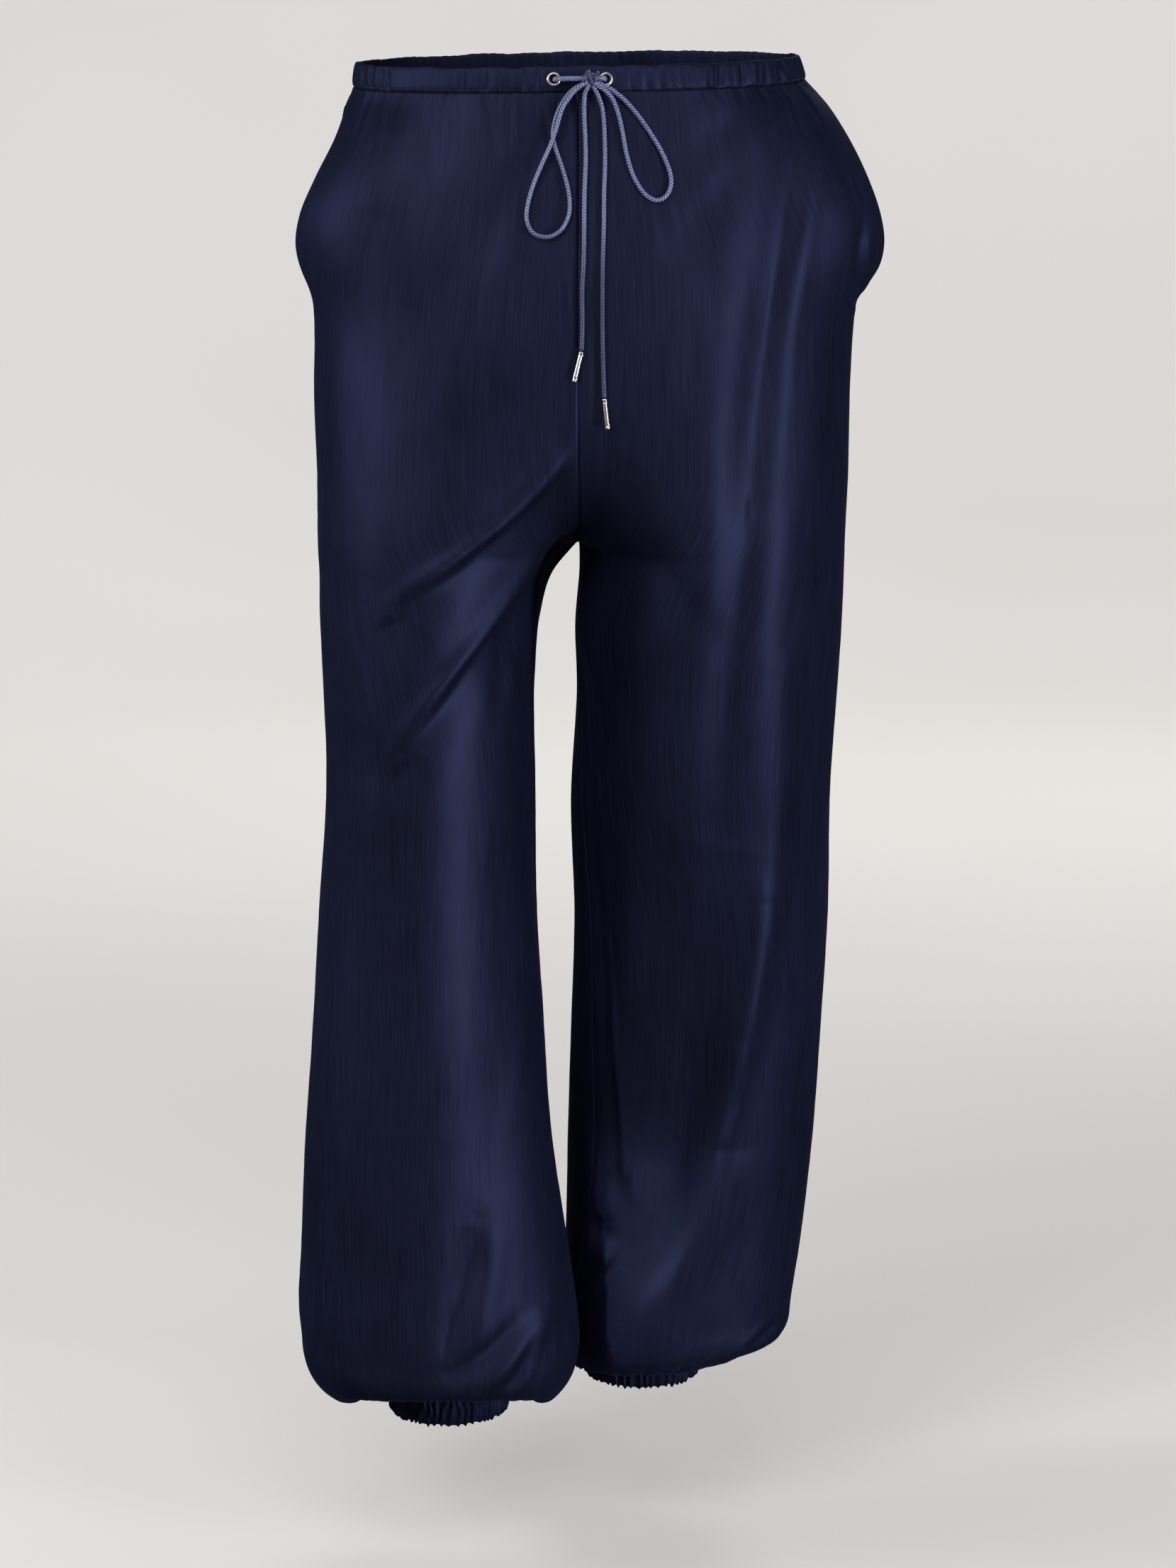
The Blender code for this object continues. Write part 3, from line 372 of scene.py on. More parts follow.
def halfSection(leg, panel, height):
    # One panel's run at a height, from the inner edge to the side, as (out, depth) points.
    form, front = bodyForm, panel == "front"
    crest = float(legValue(leg, "crest" if front else "seat", height))
    depth = float(legValue(leg, "front" if front else "back", height))
    sideDepth = float(legValue(leg, "sideDepth", height))
    inFrontEdge = front and height > form["mouthEdgeEnd"]
    side = float(legValue(leg, "mouth" if inFrontEdge else "side", height))
    if form["mouthEnd"] < height < form["mouthTop"]:
        opened = math.sin(math.pi * (height - form["mouthEnd"]) / (form["mouthTop"] - form["mouthEnd"]))
        sideDepth += form["mouthGape"][panel] * opened
    joined = height >= form["crotchHeight"]
    inner = 0.0 if joined else float(legValue(leg, "inner", height))
    innerDepth = form["crotchDepth"] if joined else float(legValue(leg, "innerDepth", height))
    opened = min(max((form["crotchHeight"] - height) / form["crotchOpens"], 0.0), 1.0)
    angle = form["crotchAngle"] + (math.pi / 2 - form["crotchAngle"]) * opened
    towards = -1 if front else 1
    reach = form["roundness"] * (crest - inner)
    drop = form["roundness"] * abs(depth - innerDepth)
    leave = (inner + math.cos(angle) * reach, innerDepth + towards * math.sin(angle) * drop)
    first = arcPoints((inner, innerDepth), leave, (crest - reach, depth), (crest, depth))
    if joined:
        whole = depth - form["crotchDepth"]
        seam = (riseDepth(panel, height) - form["crotchDepth"]) / whole
        own = (first[:, 1] - form["crotchDepth"]) / whole
        first[:, 1] = form["crotchDepth"] + whole * np.sqrt(seam**2 + own**2 * max(1 - seam**2, 0.0))
    out = form["roundness"] * (side - crest)
    roundIn = form["roundness"] * (depth - sideDepth)
    second = arcPoints((crest, depth), (crest + out, depth), (side, sideDepth + roundIn), (side, sideDepth))
    return np.vstack([first, second, [(side, sideDepth)]])


@functools.lru_cache(maxsize=None)
def sectionTable(leg, panel):
    # All sections of one panel, read at even lengths, with close levels near the crotch.
    form, crotch = bodyForm, bodyForm["crotchHeight"]
    bend = crotch + form["bendReach"] * (1 - np.cos(np.linspace(0, math.pi / 2, form["bendLevels"])))
    even = np.arange(*form["levels"]) * mm
    levels = np.unique(np.round(np.concatenate([even, bend, [crotch - 1e-6]]), 7))
    lines = [halfSection(leg, panel, float(level)) for level in levels]
    lengths = np.array([lengthOf(line) for line in lines])
    return levels, lengths, np.array([evenLine(line, form["runSamples"]) for line in lines])


def runLength(leg, panel, height):
    levels, lengths, _ = sectionTable(leg, panel)
    return np.interp(height, levels, lengths)


def sectionPoint(leg, panel, height, at):
    # The (out, depth) point at a length along a section, for whole arrays.
    levels, lengths, shapes = sectionTable(leg, panel)
    low = np.clip(np.searchsorted(levels, height) - 1, 0, len(levels) - 2)
    mix = np.clip((height - levels[low]) / (levels[low + 1] - levels[low]), 0, 1)[..., None]
    place = np.clip(at / np.interp(height, levels, lengths), 0, 1) * (shapes.shape[1] - 1)
    col = np.clip(place.astype(int), 0, shapes.shape[1] - 2)
    part = (place - col)[..., None]
    lower = shapes[low, col] * (1 - part) + shapes[low, col + 1] * part
    upper = shapes[low + 1, col] * (1 - part) + shapes[low + 1, col + 1] * part
    return lower * (1 - mix) + upper * mix


def flatPoint(leg, panel, height, share, nudge):
    # Smooth surface of a leg before tilt and folds; share runs from the inner edge to the side.
    form, other = bodyForm, "back" if panel == "front" else "front"
    crotch = form["crotchHeight"]
    shift = np.where(height < crotch, legValue(leg, "inseam", height), 0.0)
    start = shift if panel == "front" else -shift
    length = runLength(leg, panel, height) - start
    fade = np.clip(1 - (crotch - height) / form["gainFade"], 0.0, 1.0)
    gain = np.clip(length - form["torsoRun"], 0.0, form["gainLimit"]) * fade
    rest = 1 - share
    at = start + length - (length - gain) * rest - gain * rest**form["gainCrowding"] + nudge
    point = sectionPoint(leg, panel, height, np.maximum(at, 0))
    around = sectionPoint(leg, other, height, np.maximum(-at, 0))
    point = np.where(((at < 0) & (height < crotch))[..., None], around, point)
    out = point[..., 0] * sideSign[leg]
    return np.stack([out, point[..., 1], height], axis=-1)


@functools.lru_cache(maxsize=None)
def riseMarks(panel):
    # Heights down the centre seam, with the share of its length at each.
    form = bodyForm
    curve, crotch = form["riseCurve"][panel], form["crotchHeight"]
    heights = np.linspace(-form["casingHeight"] - form["seamGap"], crotch, form["riseSteps"])
    bend = (heights - crotch) < curve
    heights[bend] = crotch + curve * (1 - np.cos(np.linspace(math.pi / 2, 0, bend.sum())))
    depths = [riseDepth(panel, height) for height in heights]
    marks = marksAlong(np.column_stack([heights, depths]))
    return marks / marks[-1], heights


def torsoHeight(panel, row, share):
    # Rows are level at the casing and at the crotch, and follow the rise between them.
    form = bodyForm
    top = -form["casingHeight"] - form["seamGap"]
    down = row / form["torsoRows"]
    side = top + (form["crotchHeight"] - top) * down
    inner = np.interp(down, *riseMarks(panel))
    return side + (inner - side) * smoothStep(1 - share / form["riseReach"])


def tiltWaist(point):
    fade = smoothStep(1 + point[..., 2] / bodyForm["tiltFade"])
    across, back, up = bodyForm["tilt"]
    lifted = point.copy()
    lifted[..., 2] += (across * point[..., 0] + back * point[..., 1] + up) * fade
    return lifted


def cuffPoint(leg, panel, share, grow=0.0):
    centre, depth = (value * mm for value in cuffForm["centres"][leg])
    angle = math.pi * share
    out = centre - (cuffForm["halfWidth"] + grow) * np.cos(angle)
    towards = -1 if panel == "front" else 1
    y = depth + towards * (cuffForm["halfDepth"] + grow) * np.sin(angle)
    return np.stack([out * sideSign[leg], y, 0 * out], axis=-1)


def hemRings(leg, panel, share, nudge):
    # The leg's last rows and the rings of the blouson below it, each a row of points.
    flat = np.full_like(share, bodyForm["hemStart"])
    inseam, middle, side = (value * mm for value in hemLifts[f"{panel}_{leg}"])
    lift = inseam + (side - inseam) * share + 4 * (middle - (inseam + side) / 2) * share * (1 - share)
    leaving = flatPoint(leg, panel, flat, share, nudge)
    above = flatPoint(leg, panel, flat + bodyForm["hemLeadIn"], share, nudge)
    cuff = cuffPoint(leg, panel, share, bodyForm["seamGap"])
    away = leaving - cuff
    away[:, 2] = 0
    distance = np.linalg.norm(away, axis=1, keepdims=True)
    rings = [above, leaving]
    for reach, least, height, lifted in hemTable:
        ring = cuff + away / distance * np.maximum(reach * distance, least * mm)
        ring[:, 2] = height * mm + lift * lifted
        rings.append(ring)
    return rings


def hemSurface(rings, steps):
    # Rows between the rings, on a smooth curve down each column.
    padded = np.array(rings + [2 * rings[-1] - rings[-2]])
    rows = []
    for at in np.linspace(0, len(rings) - 2, steps + 1)[1:]:
        first = min(int(at), len(rings) - 3)
        rows.append(curveBetween(*padded[first:first + 4], at - first))
    return np.array(rows)


panelGrid = {
    "torsoSteps": 100,
    "legSteps": {"front": 190, "back": 110},
    "hemSteps": 44,
    "columns": 144,
    "topCrowding": 1.3,
    "smoothing": 6,
    "seamGap": 0.1 * mm,
    # Below the pocket the cloth runs in smoothly from the bulge to the leg, but for its edge.
    "bulgeSpan": (-0.07, -0.30),
    "bulgeFade": 0.05,
    "bulgeEdge": (0.02, 0.16),
    "bulgeBlur": 26 * mm,
}


def easeBulge(points, share):
    # Blurs each column down its length where the pocket's bulge ends, and keeps the side edge sharp.
    grid = panelGrid
    high, low = grid["bulgeSpan"]
    height = points[..., 2]
    window = smoothStep((high - height) / grid["bulgeFade"]) * smoothStep((height - low) / grid["bulgeFade"])
    first, last = grid["bulgeEdge"]
    weight = window * smoothStep((1 - share - first) / (last - first))
    far = height[:, -1]
    kernel = np.exp(-((far[:, None] - far[None, :]) / grid["bulgeBlur"]) ** 2)
    kernel *= np.gradient(far)[None, :]
    kernel /= kernel.sum(axis=1, keepdims=True)
    eased = points.copy()
    for axis in (0, 1):
        eased[..., axis] += (kernel @ points[..., axis] - points[..., axis]) * weight
    return eased


def panelSurface(leg, panel):
    # The panel's smooth form as a grid of points, with the torso row number of each row.
    grid, form = panelGrid, bodyForm
    share = np.linspace(0, 1, grid["columns"] + 1)
    nudge = np.zeros_like(share)
    nudge[0], nudge[-1] = grid["seamGap"] / 2, -grid["seamGap"] / 2
    down = form["torsoRows"] * np.linspace(0, 1, grid["torsoSteps"] + 1) ** grid["topCrowding"]
    rows = []
    for row in down:
        height = torsoHeight(panel, row, share)
        point = tiltWaist(flatPoint(leg, panel, height, share, nudge))
        point[0, 0] = grid["seamGap"] / 2 * sideSign[leg]
        rows.append(point)
    for low in np.linspace(form["crotchHeight"], form["hemStart"], grid["legSteps"][panel] + 1)[1:]:
        rows.append(flatPoint(leg, panel, np.full_like(share, low), share, nudge))
    points = np.vstack([np.array(rows), hemSurface(hemRings(leg, panel, share, nudge), grid["hemSteps"])])
    points = easeBulge(points, share)
    for _ in range(grid["smoothing"]):
        inner = (points[:-2, 1:-1] + points[2:, 1:-1] + points[1:-1, :-2] + points[1:-1, 2:]) / 4
        points[1:-1, 1:-1] = 0.5 * points[1:-1, 1:-1] + 0.5 * inner
    return points


def surfaceNormals(points, leg, panel):
    across, down = np.gradient(points, axis=1), np.gradient(points, axis=0)
    normals = np.cross(across, down)
    if (leg == "left") == (panel == "front"):
        normals = -normals
    torso = panelGrid["torsoSteps"] + 1
    seam = down[:torso, 0]
    turn = 1 if panel == "front" else -1
    normals[:torso, 0] = turn * np.stack([0 * seam[:, 0], seam[:, 2], -seam[:, 1]], axis=1)
    normals[0, :, 2] = 0
    return normals / np.maximum(np.linalg.norm(normals, axis=2, keepdims=True), 1e-9)


# Creases seen from the front or back, in mm: depth (a trough is positive), width on the left of the line's
# direction, width on its right, share of the depth that stands up beside it, then points (x, z).
creases = {
    "front_right": (
        (6.5, 6, 20, 0.7, (-116, -356), (-98, -344), (-75, -329), (-56, -315), (-40, -302), (-27, -290),
         (-14, -276), (-2, -262), (6, -252)),
        (6.5, 6, 16, 0.7, (-113, -454), (-101, -437), (-76, -405), (-55, -380), (-37, -357), (-21, -335),
         (-8, -314), (-2, -304)),
        (2.4, 5, 7, 0.4, (-33, -350), (-38, -362), (-45, -386), (-49, -404), (-54, -436)),
        (3.0, 30, 22, 0.0, (0, -216), (-40, -222), (-90, -250)),
        (1.6, 26, 18, 0.0, (-178, -462), (-140, -468), (-100, -466)),
        (3.2, 18, 24, 0.0, (-42, -500), (-48, -590), (-52, -659), (-62, -756), (-70, -806)),
        (-2.0, 34, 34, 0.0, (-118, -330), (-126, -430), (-130, -560), (-136, -690), (-140, -780)),
        (5.5, 9, 13, 0.3, (-70, -786), (-77, -822), (-86, -862), (-92, -886)),
        (1.3, 2.6, 4.5, 0.6, (-86, -846), (-90, -862), (-92, -879)),
        (-4.5, 8, 9, 0.0, (-72, -905), (-56, -893), (-34, -872), (-20, -852)),
        (4.5, 7, 9, 0.0, (-96, -897), (-76, -886), (-56, -873), (-40, -856)),
        (2.6, 4, 6, 0.3, (-32, -868), (-38, -886), (-44, -900), (-56, -911)),
        (-4.2, 15, 22, 0.0, (-120, -18), (-124, -33), (-128, -52), (-133, -70), (-139, -96)),
        (1.4, 10, 12, 0.2, (-30, -52), (-52, -88), (-66, -132), (-70, -180)),
    ),
    "front_left": (
        (6.0, 8, 17, 0.3, (147, -10), (150, -26), (150, -43), (144, -62), (137, -104), (132, -140),
         (127, -180), (122, -226), (117, -275)),
        (6.5, 15, 19, 0.1, (130, -170), (121, -240), (113, -310), (105, -380), (98, -450), (94, -530)),
        (-4.2, 13, 13, 0.0, (138, -400), (136, -470), (133, -520), (128, -575), (122, -616), (112, -670)),
        (-8.5, 13, 12, 0.0, (68, -815), (84, -778), (91, -752), (100, -720), (107, -691), (118, -626),
         (128, -560)),
        (-10.0, 17, 24, 0.3, (24, -886), (44, -868), (61, -846), (76, -820), (87, -796), (95, -770),
         (102, -742)),
        (8.0, 26, 26, 0.0, (92, -520), (84, -590), (76, -660), (64, -720), (46, -775)),
        (2.4, 2.5, 5, 0.5, (4, -400), (7, -471), (12, -514), (17, -627), (20, -686), (24, -735),
         (26, -790)),
        (2.2, 6, 11, 0.4, (25, -770), (30, -790), (36, -806)),
        (6.0, 12, 10, 0.0, (-10, -806), (22, -822), (58, -814)),
        (4.0, 4, 7, 0.5, (26, -830), (19, -838), (9, -851), (0, -865), (-8, -878)),
        (2.6, 4, 5, 0.4, (112, -917), (126, -907), (136, -899), (144, -892)),
        (4.5, 20, 22, 0.1, (52, -500), (52, -570), (50, -640), (44, -700), (38, -745)),
        (1.6, 9, 12, 0.2, (104, -24), (91, -38), (78, -52), (62, -58)),
        (1.5, 11, 13, 0.2, (104, -62), (88, -88), (75, -104), (58, -124)),
        (-1.4, 20, 22, 0.0, (168, -60), (172, -120), (170, -190), (165, -260)),
        (3.0, 3, 4, 0.5, (193, -98), (191, -112), (190, -128), (189, -142), (187, -156)),
        (1.6, 10, 14, 0.2, (20, -250), (40, -300), (66, -345), (92, -380)),
    ),
    "back_right": (
        (7.0, 16, 22, 0.2, (-20, -200), (-42, -252), (-62, -300), (-92, -342), (-118, -372)),
        (7.0, 16, 22, 0.2, (-30, -330), (-52, -382), (-70, -430), (-88, -476), (-104, -520)),
        (-6.0, 28, 28, 0.0, (-128, -240), (-134, -350), (-137, -460), (-139, -580), (-140, -700)),
        (6.0, 16, 20, 0.1, (-76, -560), (-82, -640), (-84, -700), (-88, -780), (-92, -850)),
        (2.6, 8, 12, 0.3, (-16, -272), (-34, -318), (-62, -362), (-80, -380)),
        (2.0, 7, 10, 0.3, (-150, -452), (-118, -470), (-88, -474)),
        (-3.5, 12, 14, 0.0, (-40, -600), (-44, -690), (-50, -780)),
        (3.2, 7, 9, 0.3, (-128, -884), (-104, -872), (-70, -880)),
    ),
    "back_left": (
        (7.0, 16, 22, 0.2, (22, -205), (45, -256), (66, -305), (96, -348), (122, -380)),
        (7.0, 16, 22, 0.2, (34, -340), (54, -392), (72, -440), (90, -486), (106, -530)),
        (-6.0, 28, 28, 0.0, (132, -250), (136, -360), (138, -470), (136, -590), (132, -700)),
        (6.0, 16, 20, 0.1, (62, -560), (68, -640), (70, -700), (69, -780), (66, -850)),
        (2.6, 8, 12, 0.3, (18, -290), (38, -332), (64, -372), (84, -392)),
        (2.2, 7, 10, 0.3, (148, -462), (118, -482), (92, -488)),
        (-3.5, 12, 14, 0.0, (30, -610), (30, -700), (34, -790)),
        (3.2, 7, 9, 0.3, (110, -896), (80, -880), (46, -888)),
    ),
}
creaseForm = {
    "steps": 6,
    "topFade": 30 * mm,
    "edgeFade": 0.05,
    "hemFadeRows": 26,
    "taper": 0.55,
    "ends": (0.02, 0.98),
    # Distance of the part that stands up beside a crease, in widths.
    "standsAt": 1.9,
}

# Gathers under the casing, in mm: across at the seam, depth, half width, length, lean per mm down.
frontGathers = {
    "front_right": (
        (139, 2.6, 3.4, 34, -0.05), (131, 1.4, 3.0, 24, 0.05), (118, 0.8, 3.5, 30, 0.0),
        (96, 1.3, 3.0, 38, 0.1), (88, 1.5, 2.6, 46, 0.16), (81, 1.1, 2.4, 24, 0.1),
        (60, 1.4, 3.0, 52, 0.2), (46, 1.6, 2.4, 34, 0.1), (26, 1.5, 2.6, 40, 0.25), (36, 0.8, 2.2, 22, 0.1),
    ),
    "front_left": (
        (30, 0.9, 2.6, 26, -0.15), (45, 0.7, 3.0, 34, -0.1), (66, 0.6, 3.5, 24, 0.0),
        (84, 0.8, 3.0, 34, 0.1), (106, 1.2, 3.0, 40, 0.15), (121, 0.9, 2.6, 30, 0.1),
        (136, 1.6, 3.2, 44, 0.1), (146, 1.8, 3.0, 52, 0.05),
    ),
}
gatherForm = {
    "topFade": 1.6,
    # A low ridge beside each trough: share of its depth, distance and width in half widths.
    "ridge": (0.5, 1.7, 0.8),
    "backCount": 17,
    "backSeed": 21,
    "backShift": 0.35,
    # Depth, half width and length in mm, and lean, of the gathers at the back.
    "backSpans": ((0.7, 2.0), (2.2, 3.6), (20, 58), (-0.1, 0.1)),
    "finePitch": 5.5 * mm,
    "fineDepth": 0.45 * mm,
    "fineFade": 13 * mm,
    "fineEnd": 1.5,
    "fineWander": (1.4, 30 * mm, 2.5),
    "fineSeed": 5,
}


hemGatherForm = {
    "count": 20,
    "seed": 34,
    "shift": 0.4,
    "depth": 2.0 * mm,
    "depthShare": (0.4, 1.2),
    "lip": 33,
    "reach": (9, 33),
    "lipFade": 9,
    "width": (0.010, 0.018),
    "lean": (-0.0012, 0.0012),
    "fade": 1.3,
}


seamForm = {
    "dip": 0.5 * mm,
    "width": 2.6 * mm,
    "puckerDepth": 0.16 * mm,
    "puckerPitch": 9 * mm,
    "puckerReach": 9 * mm,
    "puckerWander": 16 * mm,
    "threadWidth": 2 * mm,
    "seeds": (3, 4),
}


drapeForm = {
    "span": 250 * mm,
    "seed": 40,
    # Slow waves of the hanging cloth, then a faint crumple: depth, width and height of each, in mm.
    "waves": ((1.1, 48, 230), (0.55, 24, 120), (0.13, 7, 24), (0.065, 19, 9)),
}


def creasePush(name, points):
    # Depth of the listed creases over a whole panel.
    form = creaseForm
    x, z = points[..., 0] / mm, points[..., 2] / mm
    push = np.zeros(x.shape)
    for depth, leftWidth, rightWidth, beside, *line in creases[name]:
        line = lineThrough(line, form["steps"])
        marks = marksAlong(line)
        nearest, side, run = np.full(x.shape, np.inf), np.zeros(x.shape), np.zeros(x.shape)
        for start, end, mark, step in zip(line, line[1:], marks, np.diff(marks)):
            along = (end - start) / step
            dx, dz = x - start[0], z - start[1]
            at = np.clip(dx * along[0] + dz * along[1], 0, step)
            away = np.hypot(dx - at * along[0], dz - at * along[1])
            closer = away < nearest
            nearest = np.where(closer, away, nearest)
            side = np.where(closer, np.sign(along[0] * dz - along[1] * dx), side)
            run = np.where(closer, (mark + at) / marks[-1], run)
        width = np.where(side > 0, leftWidth, rightWidth)
        taper = np.sin(np.pi * np.clip(run, *form["ends"])) ** form["taper"]
        shape = np.exp(-(nearest / width) ** 2)
        stands = np.exp(-((nearest - form["standsAt"] * leftWidth) / leftWidth) ** 2)
        push += depth * mm * taper * (shape - beside * np.where(side > 0, stands, 0))
    return push


def gatherLines(name, points):
    # Every gather of a panel's top edge: share across, depth, half width, length and lean.
    form = gatherForm
    across = np.abs(points[0, :, 0]) / mm
    share = np.linspace(0, 1, len(across))
    if name in frontGathers:
        return [(float(np.interp(at, across, share)), *rest) for at, *rest in frontGathers[name]]
    draw = np.random.default_rng(form["backSeed"] + len(name))
    lines = []
    for number in range(form["backCount"]):
        at = (number + 0.5 + draw.uniform(-form["backShift"], form["backShift"])) / form["backCount"]
        lines.append((at, *[draw.uniform(*span) for span in form["backSpans"]]))
    return lines


def topGathers(name, points, share):
    # Troughs that start at the casing's seam and fade out below it, with fine ruching between them.
    form = gatherForm
    below = points[0, :, 2] - points[..., 2]
    length = lengthOf(points[0])
    along = share * length
    push = np.zeros(along.shape)
    height, place, spread = form["ridge"]
    for at, depth, width, reach, lean in gatherLines(name, points):
        away = (along - at * length + lean * below) / (width * mm)
        fade = np.clip(1 - below / (reach * mm), 0, 1) ** form["topFade"]
        beside = height * np.exp(-((np.abs(away) - place) / spread) ** 2)
        push += depth * mm * fade * (np.exp(-away**2) - beside)
    rate, reach, turn = form["fineWander"]
    ripple = softNoise(along / form["finePitch"] * rate, below / reach, form["fineSeed"])
    fine = form["fineDepth"] * (np.sin(2 * np.pi * along / form["finePitch"] + turn * ripple) + ripple)
    return push + fine * np.clip(1 - below / form["fineFade"], 0, 1) ** form["fineEnd"]


def hemGathers(name, share, hemRow):
    # Troughs that run up from the cuff into the blouson.
    form = hemGatherForm
    draw = np.random.default_rng(form["seed"] + sum(map(ord, name)))
    up = np.maximum(form["lip"] - hemRow, 0)
    ending = smoothStep((panelGrid["hemSteps"] - hemRow) / form["lipFade"])
    push = np.zeros(share.shape)
    for number in range(form["count"]):
        at = (number + 0.5 + draw.uniform(-form["shift"], form["shift"])) / form["count"]
        reach, width = draw.uniform(*form["reach"]), draw.uniform(*form["width"])
        depth, lean = form["depth"] * draw.uniform(*form["depthShare"]), draw.uniform(*form["lean"])
        fade = np.clip(1 - up / reach, 0, 1) ** form["fade"] * ending
        push += depth * fade * np.exp(-((share - at + lean * up) / width) ** 2)
    return push


def seamPush(points, share):
    # A shallow groove with small puckers along each seam; an open pocket edge has none.
    form = seamForm
    width = np.linalg.norm(np.diff(points, axis=1), axis=2).sum(axis=1)[:, None]
    down = marksAlong(points[:, 0])[:, None]
    height = points[:, -1:, 2]
    mouth = (height < bodyForm["mouthTop"]) & (height > bodyForm["mouthEnd"])
    total = np.zeros(points.shape[:2])
    for edge, seed in enumerate(form["seeds"]):
        away = np.abs(share - edge) * width
        pucker = softNoise(down / form["puckerPitch"] + 0 * away, away / form["puckerWander"], seed)
        groove = form["dip"] * np.exp(-(away / form["width"]) ** 2)
        ripple = form["puckerDepth"] * pucker * np.exp(-(away / form["puckerReach"]) ** 2)
        part = groove + ripple * (1 - np.exp(-(away / form["threadWidth"]) ** 2))
        total += np.where(mouth, 0, part) if edge else part
    return total


def drapePush(name, points, share):
    across = share * drapeForm["span"] * sideSign[name.split("_")[1]]
    push = np.zeros(share.shape)
    for number, (depth, wide, high) in enumerate(drapeForm["waves"], drapeForm["seed"] + len(name)):
        push += depth * mm * softNoise(across / (wide * mm), points[..., 2] / (high * mm), number)
    return push


def makeShell(name, data, thickness, outer, inner, offset=-1):
    # A thin closed shell: the outer face keeps its place and the inner face is the cloth's back.
    made = newObject(name, data, outer, inner)
    wall = made.modifiers.new("cloth", "SOLIDIFY")
    wall.thickness = thickness
    wall.offset = offset
    wall.material_offset = 1
    settle(made)
    return made


def settle(made):
    # Turns the object with its modifiers into a plain mesh.
    graph = bpy.context.evaluated_depsgraph_get()
    plain = bpy.data.meshes.new_from_object(made.evaluated_get(graph))
    old = made.data
    made.modifiers.clear()
    made.data = plain
    name = old.name
    bpy.data.meshes.remove(old)
    plain.name = name


# Heavy polyester satin, woven with its warp floats on top: a broad, soft, deep blue gloss and a fine
# upright grain. The dye colours the light that the floats turn back, so the gloss is tinted too.
satinLook = {
    "dark": "#1a1d2e",
    "light": "#252941",
    "tinted": 0.78,
    "rim": "#262c46",
    "specular": 0.05,
    "roughness": (0.54, 0.6),
    "warp": 0.9 * mm,
    "slub": 55 * mm,
    "patch": 70 * mm,
    "warpShare": 0.55,
    "contrast": (0.35, 0.65),
    "bump": 0.05,
    "sheen": 0.05,
    "sheenRoughness": 0.45,
    "sheenTint": "#5a6cc4",
}


def clothNoise(tree, coords, acrossSize, downSize, detail=2.0):
    scale = (1 / acrossSize, 1 / downSize, 1)
    scaled = addNode(tree, "ShaderNodeMapping", {"Vector": coords, "Scale": scale})
    return addNode(tree, "ShaderNodeTexNoise", {
        "Vector": scaled, "Scale": 1.0, "Detail": detail, "Roughness": 0.55,
    })


def makeSatin(name, look):
    material, tree, shader = newMaterial(name)
    coords = addNode(tree, "ShaderNodeTexCoord").outputs["UV"]
    warp = clothNoise(tree, coords, look["warp"], look["slub"])
    patch = clothNoise(tree, coords, look["patch"], look["patch"] * 2)
    share = look["warpShare"]
    tone = addNode(tree, "ShaderNodeMath", {0: warp, 1: share}, operation="MULTIPLY")
    tone = addNode(tree, "ShaderNodeMath", {0: patch, 1: 1 - share, 2: tone}, operation="MULTIPLY_ADD")
    low, high = look["contrast"]
    tone = addNode(tree, "ShaderNodeMapRange", {"Value": tone, "From Min": low, "From Max": high})
    # Sockets 6 and 7 of a mix take its two colours, and output 2 is the mixed one.
    colour = addNode(tree, "ShaderNodeMix", {0: tone, 6: look["dark"], 7: look["light"]}, data_type="RGBA")
    low, high = look["roughness"]
    rough = addNode(tree, "ShaderNodeMapRange", {
        "Value": warp, "From Min": 0.3, "From Max": 0.7, "To Min": low, "To Max": high,
    })
    bump = addNode(tree, "ShaderNodeBump", {"Height": warp, "Strength": look["bump"], "Distance": 0.2 * mm})
    feedNode(tree, shader, {
        "Base Color": colour.outputs[2], "Roughness": rough, "Normal": bump, "Metallic": look["tinted"],
        "Specular IOR Level": look["specular"], "Specular Tint": look["rim"],
        "Sheen Weight": look["sheen"], "Sheen Roughness": look["sheenRoughness"],
        "Sheen Tint": look["sheenTint"],
    })
    return material


satin = makeSatin("woven satin face", satinLook)
satinBack = makeSatin("woven satin back", {
    **satinLook, "dark": "#121421", "light": "#1b1e30", "roughness": (0.65, 0.75), "tinted": 0.3,
})
# The cuffs' satin: the same cloth in darker colours, a painted shade.
shadedCuffSatin = makeSatin("gathered satin, darkened with painted shade", {**satinLook, "dark": "#171a2b", "light": "#22263e"})
pocketing = makeSatin("plain woven pocketing", {
    **satinLook, "dark": "#0c0d17", "light": "#161825", "tinted": 0.0, "roughness": (0.7, 0.8),
    "warp": 0.5 * mm, "slub": 1.5 * mm, "sheen": 0.1,
})
print("cloth materials made")


# The four leg panels.
shellThickness = 0.6 * mm
panelFaces = {}


